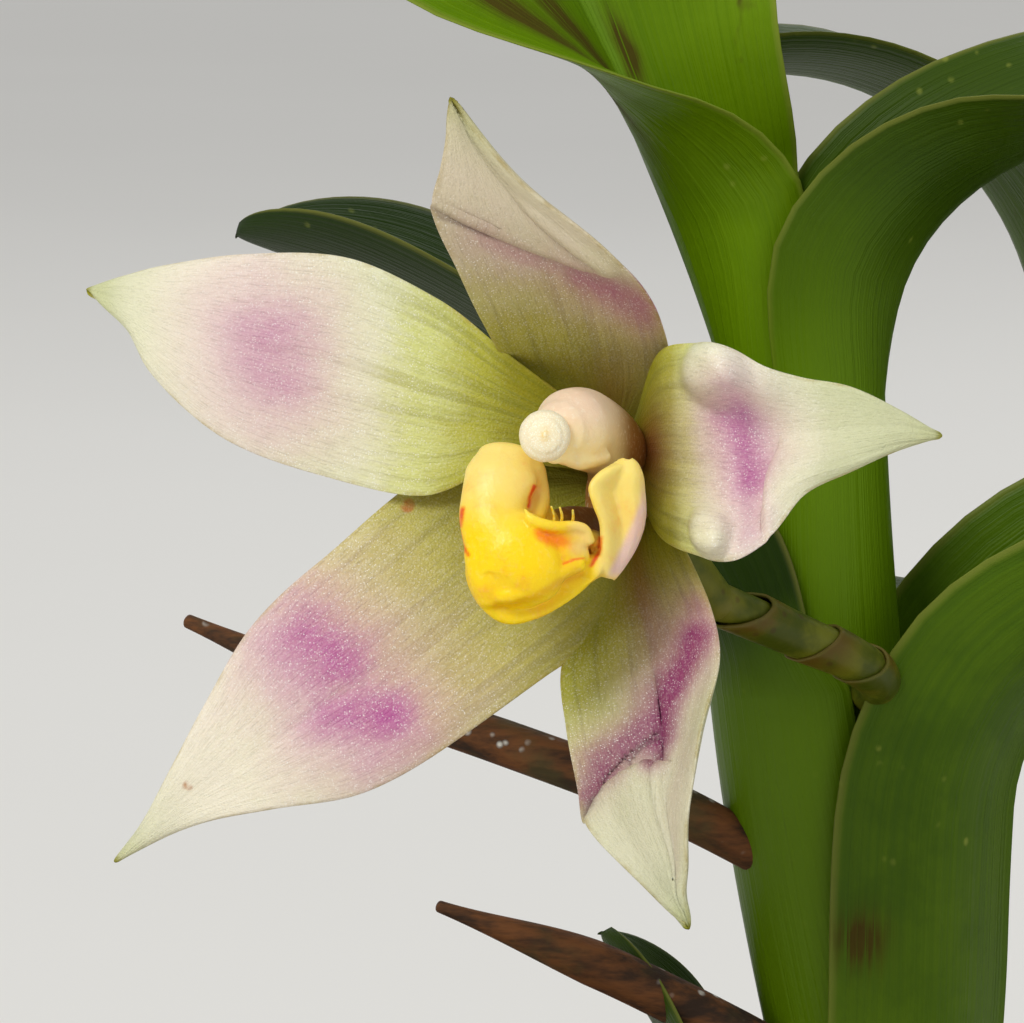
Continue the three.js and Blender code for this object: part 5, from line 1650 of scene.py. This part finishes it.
def lip_finish(s):
    """Waxy yellow: pale lobes, a golden middle with painted shade where it turns under, red and orange
    streaks, and a brown throat of painted shade.
    """
    f = waxy("lip_skin", roughness=0.38, specular_ior_level=0.35)
    f.shader.inputs["Subsurface Radius"].default_value = (1.0, 0.6, 0.1)
    place = f.object_place()
    cloud = f.noise(place, 600, 4, 0.6)
    grain = f.noise(place, 4200, 2, 0.6)
    yellow = tuple(s.yellow)
    body = f.blend(f.mark("lobe"), yellow, srgb(246, 220, 120))
    # Painted shade: a darker gold line where the pillow turns under.
    body = f.blend(f.mark("gold"), body, srgb(240, 190, 0))
    body = f.blend(f.mark("pink"), body, srgb(232, 198, 184))
    body = f.blend(f.mark("cream") * 0.8, body, srgb(244, 208, 128))
    # Painted shade: brown deeper into the flower's throat.
    body = f.blend(f.mark("throat"), body, srgb(112, 72, 34))
    body = f.blend(f.step(cloud, 0.45, 0.7) * 0.18, body, srgb(232, 160, 20))
    ragged = (cloud - 0.5) * 1.5 + (grain - 0.5) * 0.5
    body = f.blend(f.step(f.mark("orange") + ragged, 0.1, 1.3) * 0.9, body, srgb(252, 122, 0))
    body = f.blend(f.step(f.mark("red") + ragged, 0.1, 0.9) * 0.6, body, srgb(250, 140, 0))
    body = f.blend(f.step(f.mark("red") + ragged, 0.6, 1.25) * 0.95, body, srgb(228, 60, 0))
    body = f.blend(f.step(grain, 0.5, 0.75) * 0.08, body, srgb(255, 244, 190))
    return f.done(base_color=body, roughness=0.46 - grain * 0.16, normal=f.relief(grain + cloud, 0.025))


def filament_finish(s):
    """Clear yellow, paler in grains."""
    f = waxy("filament_skin", roughness=0.4)
    grain = f.noise(f.object_place(), 5200, 2, 0.6)
    return f.done(base_color=f.blend(f.step(grain, 0.4, 0.7), tuple(s.yellow), srgb(255, 238, 130)))


def lip_form(form):
    """The sheets and the thick parts of the lip, overlapping, in the plant's frame."""
    u = np.linspace(0, 1, LIP_SHEET_ROWS)
    v = np.sin(np.linspace(-1, 1, LIP_SHEET_COLUMNS) * np.pi / 2)
    margin = np.maximum(1 - np.abs(v) ** 6, 0) ** 0.5
    for part in LIP_SHEETS.values():
        half = part["thick"] / 2 * np.ones((LIP_SHEET_ROWS, 1)) * margin
        add_sheet(form, from_flower(tepal_surface({**TEPAL, **part}, u, v)), half, u, v)
    for stations, flat in LIP_PARTS.values():
        flower_tube(form, stations, *LIP_GRID, flat)


class ORCHID_OT_lip(bpy.types.Operator):
    """Makes the lip with its lobes, rim and callus"""

    bl_idname = "orchid.lip"
    bl_label = "Lip"

    def execute(self, context):
        form = Form()
        lip_form(form)
        lip = form.piece("waxy_lip")
        x, y, z = to_flower(welded(lip, smoothing=4)).T
        marks = {"red": np.zeros(len(x)), "orange": np.zeros(len(x))}
        for line, width, mark in LIP_STREAKS:
            marks[mark] = np.maximum(marks[mark], near_line(x, z, line, width) * (y < 1.5))
        right = ease(x, -0.5, 0.1) * ease(z, -4.7, -4.0)
        outside = listed(RIGHT_LOBE_OUTSIDE, z)
        add_marks(
            lip.data,
            lobe=np.clip(ease(z, -2.6, 0.2) * (1 - right) + right, 0, 1),
            gold=near_line(x, z, LIP_UNDERSIDE, 0.22),
            pink=right * ease(x - outside, -0.15, 0.25) * (1 - ease(z, -1.4, 0.4)),
            cream=near_line(x, z, CALLUS_END, 0.5) * (y < 0) * (1 - right),
            # How deep into the throat, for painted shade.
            throat=ease(y, 0.6, 2.6),
            **marks,
        )
        hairs = Form()
        for stations in FILAMENTS:
            flower_tube(hairs, stations, *FILAMENT_GRID)
        hair = hairs.piece("lip_filaments")
        dressed(hair, ["lip"], filament_finish(context.scene.orchid.flower))
        dressed(lip, ["lip"], lip_finish(context.scene.orchid.flower))
        return {"FINISHED"}


def column_finish():
    """Cream and pink wax, brown at the foot: its own brown foot and painted shade towards the right side and
    the throat.
    """
    f = waxy("column_skin", roughness=0.42)
    f.shader.inputs["Subsurface Radius"].default_value = (1.0, 0.7, 0.45)
    place = f.object_place()
    cloud = f.noise(place, 520, 4, 0.6)
    grain = f.noise(place, 4800, 2, 0.6)
    body = f.blend(f.mark("top"), srgb(252, 228, 160), srgb(238, 212, 182))
    body = f.blend(f.step(cloud, 0.42, 0.7) * 0.3, body, srgb(222, 184, 150))
    # Brown at the foot and on the right side: partly its own colour, partly painted shade.
    body = f.blend(f.mark("foot"), body, srgb(140, 90, 36))
    body = f.blend(f.step(grain, 0.56, 0.7) * 0.25, body, srgb(255, 246, 226))
    return f.done(base_color=body, roughness=0.5 - grain * 0.15, normal=f.relief(grain + cloud, 0.03))


def cap_finish():
    """The anther cap: cream, grainy, with one yellow spot."""
    f = waxy("cap_skin", roughness=0.45)
    f.shader.inputs["Subsurface Radius"].default_value = (1.0, 0.85, 0.6)
    place = f.object_place()
    cell = f.cells(place, 11000)
    grain = f.noise(place, 5200, 2, 0.6)
    body = f.blend(f.step(cell, 0.1, 0.5), srgb(254, 250, 228), srgb(244, 230, 194))
    body = f.blend(f.mark("spot") * f.step(grain, 0.3, 0.55), body, srgb(238, 196, 84))
    return f.done(base_color=body, roughness=0.5 - grain * 0.2, normal=f.relief(cell, 0.02))


def cap_ball():
    """The cap's points and how yellow they are.

    It is a ball, by angles from its front pole and round it, flattened at the front inside a shallow groove,
    with a small knob at the pole and slight waves.
    """
    lat = np.linspace(0.02, math.pi - 0.02, CAP_ROWS)[:, None]
    lon = 2 * np.pi * np.arange(CAP_SIDES)[None] / CAP_SIDES
    x, y, z = np.broadcast_arrays(np.sin(lat) * np.cos(lon), -np.cos(lat), np.sin(lat) * np.sin(lon))
    flat_end = 1 - 0.13 * (1 - ease(lat, 0.1, 0.95)) - 0.05 * np.exp(-(((lat - 0.86) / 0.1) ** 2))
    knob = 0.07 * np.exp(-((lat / 0.16) ** 2)) + 0.012 * ripple(9 * x, 9 * z, 4)
    spot = np.exp(-((x / 0.16) ** 2 + ((z - 0.02) / 0.24) ** 2)) * (y < 0)
    ball = CAP_RADIUS * CAP_SCALE * np.stack([x, y, z], -1) * (flat_end + knob)[..., None]
    return from_flower(CAP_CENTRE + ball), spot


class ORCHID_OT_column(bpy.types.Operator):
    """Makes the column and its anther cap"""

    bl_idname = "orchid.column"
    bl_label = "Column"

    def execute(self, context):
        form = Form()
        lines = [(COLUMN_LINE, (0, 0, 1)), (COLUMN_FOOT, (0, 1, 0))]
        lines += [(lobe, (0, 1, 0)) for lobe in (*COLUMN_LOBES, COLLAR)]
        for stations, flat in lines:
            flower_tube(form, stations, *COLUMN_GRID, flat)
        column = form.piece("waxy_column")
        x, y, z = to_flower(welded(column, smoothing=5)).T
        # Deep in the flower and on the right side, for the brown foot and painted shade.
        foot = np.maximum(ease(y, 0.6, 4.2), ease(x, 0.4, 1.6))
        add_marks(column.data, top=ease(z, 1.0, 3.4), foot=foot)
        dressed(column, ["column"], column_finish())
        cap = Form()
        points, spot = cap_ball()
        cap.add(points, closed_rings(CAP_ROWS, CAP_SIDES), spot=spot)
        dressed(cap.piece("grainy_anther_cap"), ["anther_cap"], cap_finish())
        return {"FINISHED"}


# Stalks

STALK_LINE = [
    (5.4, -1.4, 124.4),
    (5.7, -3.8, 125.6),
    (4.4, -5.6, 126.8),
    (1.6, -6.9, 128.2),
]
# Each bract: where it starts and where its mouth is, as shares of the stalk.
BRACTS = [(0.02, 0.46), (0.3, 0.68), (0.56, 0.93)]
BRACT_FOOT = 1.0
BRACT_MOUTH = 1.2
BRACT_WALL = 0.14
BRACT_SIDES = 36
BRACT_OUTSIDE = 26  # rings on its outside, and then back down its inside
BRACT_INSIDE = 12
STALK_RADIUS = 0.92
OVARY_GRID = (60, 32)
STALK_GRID = (50, 24)
SPENT_GRID = (70, 20)
SPENT = {
    "spent_stalk_upper": [
        (1.5, 0.5, 115.5, 1.1), (-4, 0.8, 118.4, 1.2), (-12, 2, 121.3, 1.15), (-20, 3.4, 123.8, 1.0),
        (-28, 5, 127, 0.35),
    ],
    "spent_stalk_lower": [
        (4, 0, 104.5, 1.1), (-1, -0.5, 107.4, 1.2), (-8, -1, 111, 1.15), (-15.5, -1.4, 113.9, 0.3),
    ],
}


def bract_shell(line, start, mouth):
    """A thin tube round the stalk that starts closed at its foot and opens at a slanting, pointed mouth.

    Its rings run out along the outside, over the rim and back down the inside, and the rim lies further along
    the stalk on one side by a share of the cosine of the angle.
    """
    share = np.concatenate([np.linspace(0, 1, BRACT_OUTSIDE), np.linspace(1, 0.55, BRACT_INSIDE)])
    inside = np.arange(len(share)) >= BRACT_OUTSIDE
    radius = mix(BRACT_FOOT, BRACT_MOUTH, share**1.4) - inside * BRACT_WALL
    radius = np.where(share < 0.04, radius * 0.93, radius)
    angle = 2 * np.pi * np.arange(BRACT_SIDES) / BRACT_SIDES
    lead = 0.16 * (mouth - start) * ease(share, 0.5, 1)[:, None] * np.cos(angle)[None]
    t = mix(start, mouth, share)[:, None] + lead
    centre = spline(line, t)
    tangent = unit(spline(line, np.minimum(t + 1e-3, 1)) - spline(line, np.maximum(t - 1e-3, 0)))
    up = np.array([0.3, 1, 0])
    depth = unit(up - tangent * (tangent @ up)[..., None])
    width = np.cross(tangent, depth)
    ribs = 1 + 0.012 * np.cos(9 * angle)[None, :, None]
    return centre + radius[:, None, None] * ribs * (
        width * np.cos(angle)[None, :, None] + depth * np.sin(angle)[None, :, None]
    )


def stalk_finish():
    """Green stalk and bracts, browner towards their mouths, with fine lengthwise nerves."""
    f = Finish("stalk_skin", roughness=0.5, specular_ior_level=0.25)
    place = f.object_place()
    along, _, _ = f.form_place()
    cloud = f.noise(place, 420, 4, 0.6)
    fine = f.noise(place, 3000, 3, 0.6)
    body = f.blend(f.step(cloud, 0.35, 0.65), srgb(66, 76, 6), srgb(104, 108, 20))
    body = f.blend(f.mark("brown") * f.step(cloud, 0.35, 0.6) * 0.8, body, srgb(84, 56, 14))
    body = f.blend(f.step(f.cells(place, 900), 0.2, 0.1) * 0.5, body, srgb(70, 46, 20))
    body = f.blend(f.step(along, 0.94, 1.0) * 0.35, body, srgb(120, 112, 48))
    return f.done(base_color=body, roughness=0.58 - fine * 0.2, normal=f.relief(fine * 0.4 + cloud, 0.06))


def spent_finish():
    """Dead stalk: brown, wrinkled lengthwise, with white mould specks."""
    f = Finish("dead_stalk_skin", roughness=0.85)
    place = f.object_place()
    wrinkle = f.noise(f.stretched(place, (0.25, 1, 1)), 900, 4, 0.65)
    cloud = f.noise(place, 240, 4, 0.6)
    body = f.blend(f.step(wrinkle, 0.34, 0.66), srgb(44, 26, 8), srgb(112, 66, 24))
    body = f.blend(f.step(cloud, 0.5, 0.68) * 0.6, body, srgb(76, 68, 30))
    mould = f.step(f.cells(place, 1300), 0.34, 0.16) * f.step(f.noise(place, 260, 3, 0.6), 0.5, 0.62)
    body = f.blend(mould * 0.9, body, srgb(222, 220, 210))
    rough = 0.95 - wrinkle * 0.2
    return f.done(base_color=body, roughness=rough, normal=f.relief(wrinkle + mould * 0.6, 0.22))


class ORCHID_OT_stalks(bpy.types.Operator):
    """Makes the ovary, the flower stalk with its bracts and the spent stalks"""

    bl_idname = "orchid.stalks"
    bl_label = "Stalks"

    def execute(self, context):
        skin = stalk_finish()
        ovary = np.array(OVARY_LINE, float)
        placed = np.column_stack([from_flower(ovary[:, :3]), ovary[:, 3]])
        form = Form()
        add_tube(form, placed.tolist(), *OVARY_GRID, flat=(0, 0, 1), brown=0.2)
        dressed(form.piece("ribbed_ovary"), ["ovary"], skin)
        back = unit(placed[-2, :3] - placed[-1, :3])
        line = np.vstack([STALK_LINE, placed[-1, :3] + back * FIT])
        stalk = Form()
        radii = np.full((len(line), 1), STALK_RADIUS)
        add_tube(stalk, np.hstack([line, radii]).tolist(), *STALK_GRID, flat=(0.3, 1, 0), brown=0.1)
        for start, mouth in BRACTS:
            grid = bract_shell(line, start, mouth)
            rings, sides = grid.shape[:2]
            share = np.concatenate([np.linspace(0, 1, BRACT_OUTSIDE), np.full(BRACT_INSIDE, 1.0)])
            where = np.stack(np.broadcast_arrays(share[:, None], np.zeros((1, sides))), -1)
            brown = np.repeat(ease(share, 0.5, 1), sides)
            stalk.add(grid, closed_rings(rings, sides), where, brown=brown)
        dressed(stalk.piece("bracted_flower_stalk"), ["flower_stalk"], skin)
        dead = spent_finish()
        for node, stations in SPENT.items():
            form = Form()
            add_tube(form, stations, *SPENT_GRID, flat=(0.3, 1, 0))
            dressed(form.piece(f"dry_{node}"), [node], dead)
        return {"FINISHED"}


# Stage

PHOTO_WIDTH = 1024
PHOTO_FOCAL = 6666.7  # the photograph's focal length in pixels
CAMERA_DISTANCE = 300.0
CAMERA_DROP = math.radians(8)  # how far below level the camera looks
LOOK_ACROSS = -3.96  # where it looks, from the flower's middle, to the right and up
LOOK_UP = -1.42
SENSOR = 36.0
FLOOR_RADIUS = 9000.0
FLOOR_SIDES = 96
WARM_WHITE = (1.0, 0.985, 0.95)
BACK_SHARE = 1.2  # the power of the light behind, as a share of the fill light's
# The places of the lights and their sizes, in metres.
KEY_LIGHT = ((-0.55, -0.85, 0.95), 0.5)
FILL_LIGHT = ((0.95, -0.7, 0.55), 0.9)
BACK_LIGHT = ((0.3, 1.1, 0.9), 0.7)


def floor_finish(colour):
    """Matt pale paper."""
    f = Finish("pale_floor", roughness=0.9)
    soft = f.noise(f.object_place(), 3, 3, 0.5)
    return f.done(base_color=f.blend(f.step(soft, 0.3, 0.7) * 0.05, tuple(colour), srgb(190, 188, 182)))


def soft_light(name, place, size, power, colour=(1, 1, 1)):
    """A round area light turned to face the flower, its place and size in metres."""
    aim = FLOWER_PLACE * MM
    light = bpy.data.lights.new(name, "AREA")
    light.shape = "DISK"
    light.size, light.energy, light.color = size, power, colour
    lamp = bpy.data.objects.new(name, light)
    lamp.location = place
    lamp.rotation_euler = (Vector(aim) - Vector(place)).to_track_quat("-Z", "Y").to_euler()
    bpy.context.scene.collection.objects.link(lamp)


class ORCHID_OT_stage(bpy.types.Operator):
    """Makes the floor, the lights and the camera at the photograph's angle"""

    bl_idname = "orchid.stage"
    bl_label = "Stage"

    def execute(self, context):
        scene = context.scene
        s = scene.orchid.stage
        form = Form()
        angle = 2 * np.pi * np.arange(FLOOR_SIDES) / FLOOR_SIDES
        disc = np.stack([FLOOR_RADIUS * np.cos(angle), FLOOR_RADIUS * np.sin(angle), 0 * angle], -1)
        form.add(disc, [list(range(FLOOR_SIDES))])
        floor = form.piece("floor", outward=False)
        floor.data.materials.append(floor_finish(s.floor))
        world = bpy.data.worlds.new("soft_sky")
        world.use_nodes = True
        sky = world.node_tree.nodes["Background"]
        sky.inputs["Color"].default_value = (*srgb(244, 244, 244), 1)
        # The sky is dim at the horizon and bright overhead, as under a wide lamp above the floor.
        way = world.node_tree.nodes.new("ShaderNodeTexCoord")
        split = world.node_tree.nodes.new("ShaderNodeSeparateXYZ")
        rise = world.node_tree.nodes.new("ShaderNodeMapRange")
        rise.inputs["To Min"].default_value = s.horizon
        rise.inputs["To Max"].default_value = s.overhead
        world.node_tree.links.new(way.outputs["Generated"], split.inputs[0])
        world.node_tree.links.new(split.outputs["Z"], rise.inputs["Value"])
        world.node_tree.links.new(rise.outputs[0], sky.inputs["Strength"])
        scene.world = world
        soft_light("key", *KEY_LIGHT, s.key, WARM_WHITE)
        soft_light("fill", *FILL_LIGHT, s.fill)
        soft_light("back", *BACK_LIGHT, s.fill * BACK_SHARE)
        view = np.array([0, math.cos(CAMERA_DROP), -math.sin(CAMERA_DROP)])
        up = np.array([0, math.sin(CAMERA_DROP), math.cos(CAMERA_DROP)])
        aim = FLOWER_PLACE + np.array([LOOK_ACROSS, 0, 0]) + LOOK_UP * up
        camera = bpy.data.objects.new("photo_camera", bpy.data.cameras.new("photo_camera"))
        camera.location = (aim - view * CAMERA_DISTANCE) * MM
        camera.rotation_euler = Vector(view).to_track_quat("-Z", "Y").to_euler()
        camera.data.sensor_width = SENSOR
        camera.data.lens = PHOTO_FOCAL * SENSOR / PHOTO_WIDTH
        camera.data.clip_start = 0.01
        scene.collection.objects.link(camera)
        scene.camera = camera
        scene.view_settings.view_transform = "Standard"
        return {"FINISHED"}


# Add-on

OPERATORS = [
    ORCHID_OT_pot, ORCHID_OT_bark, ORCHID_OT_rhizome, ORCHID_OT_stems, ORCHID_OT_leaves,
    ORCHID_OT_stalks, ORCHID_OT_tepals, ORCHID_OT_column, ORCHID_OT_lip, ORCHID_OT_stage,
]


class ORCHID_PT_pieces(bpy.types.Panel):
    """Lists what can be made"""

    bl_idname = "ORCHID_PT_pieces"
    bl_label = "Potted orchid"
    bl_space_type = "VIEW_3D"
    bl_region_type = "UI"
    bl_category = "Orchid"

    def draw(self, context):
        settings = context.scene.orchid
        for group in ("pot", "bark", "leaf", "flower", "stage"):
            box = self.layout.box()
            for name in getattr(settings, group).bl_rna.properties.keys():
                if name not in ("rna_type", "name"):
                    box.prop(getattr(settings, group), name)
        for operator in OPERATORS:
            self.layout.operator(operator.bl_idname)


CLASSES = [
    PotSettings, BarkSettings, LeafSettings, FlowerSettings, StageSettings, OrchidSettings,
    *OPERATORS, ORCHID_PT_pieces,
]


def register():
    for cls in CLASSES:
        bpy.utils.register_class(cls)
    bpy.types.Scene.orchid = PointerProperty(type=OrchidSettings)


def unregister():
    del bpy.types.Scene.orchid
    for cls in reversed(CLASSES):
        bpy.utils.unregister_class(cls)


def main():
    """Makes every piece and the stage in order."""
    register()
    for operator in OPERATORS:
        group, name = operator.bl_idname.split(".")
        getattr(getattr(bpy.ops, group), name)()


if __name__ == "__main__":
    main()
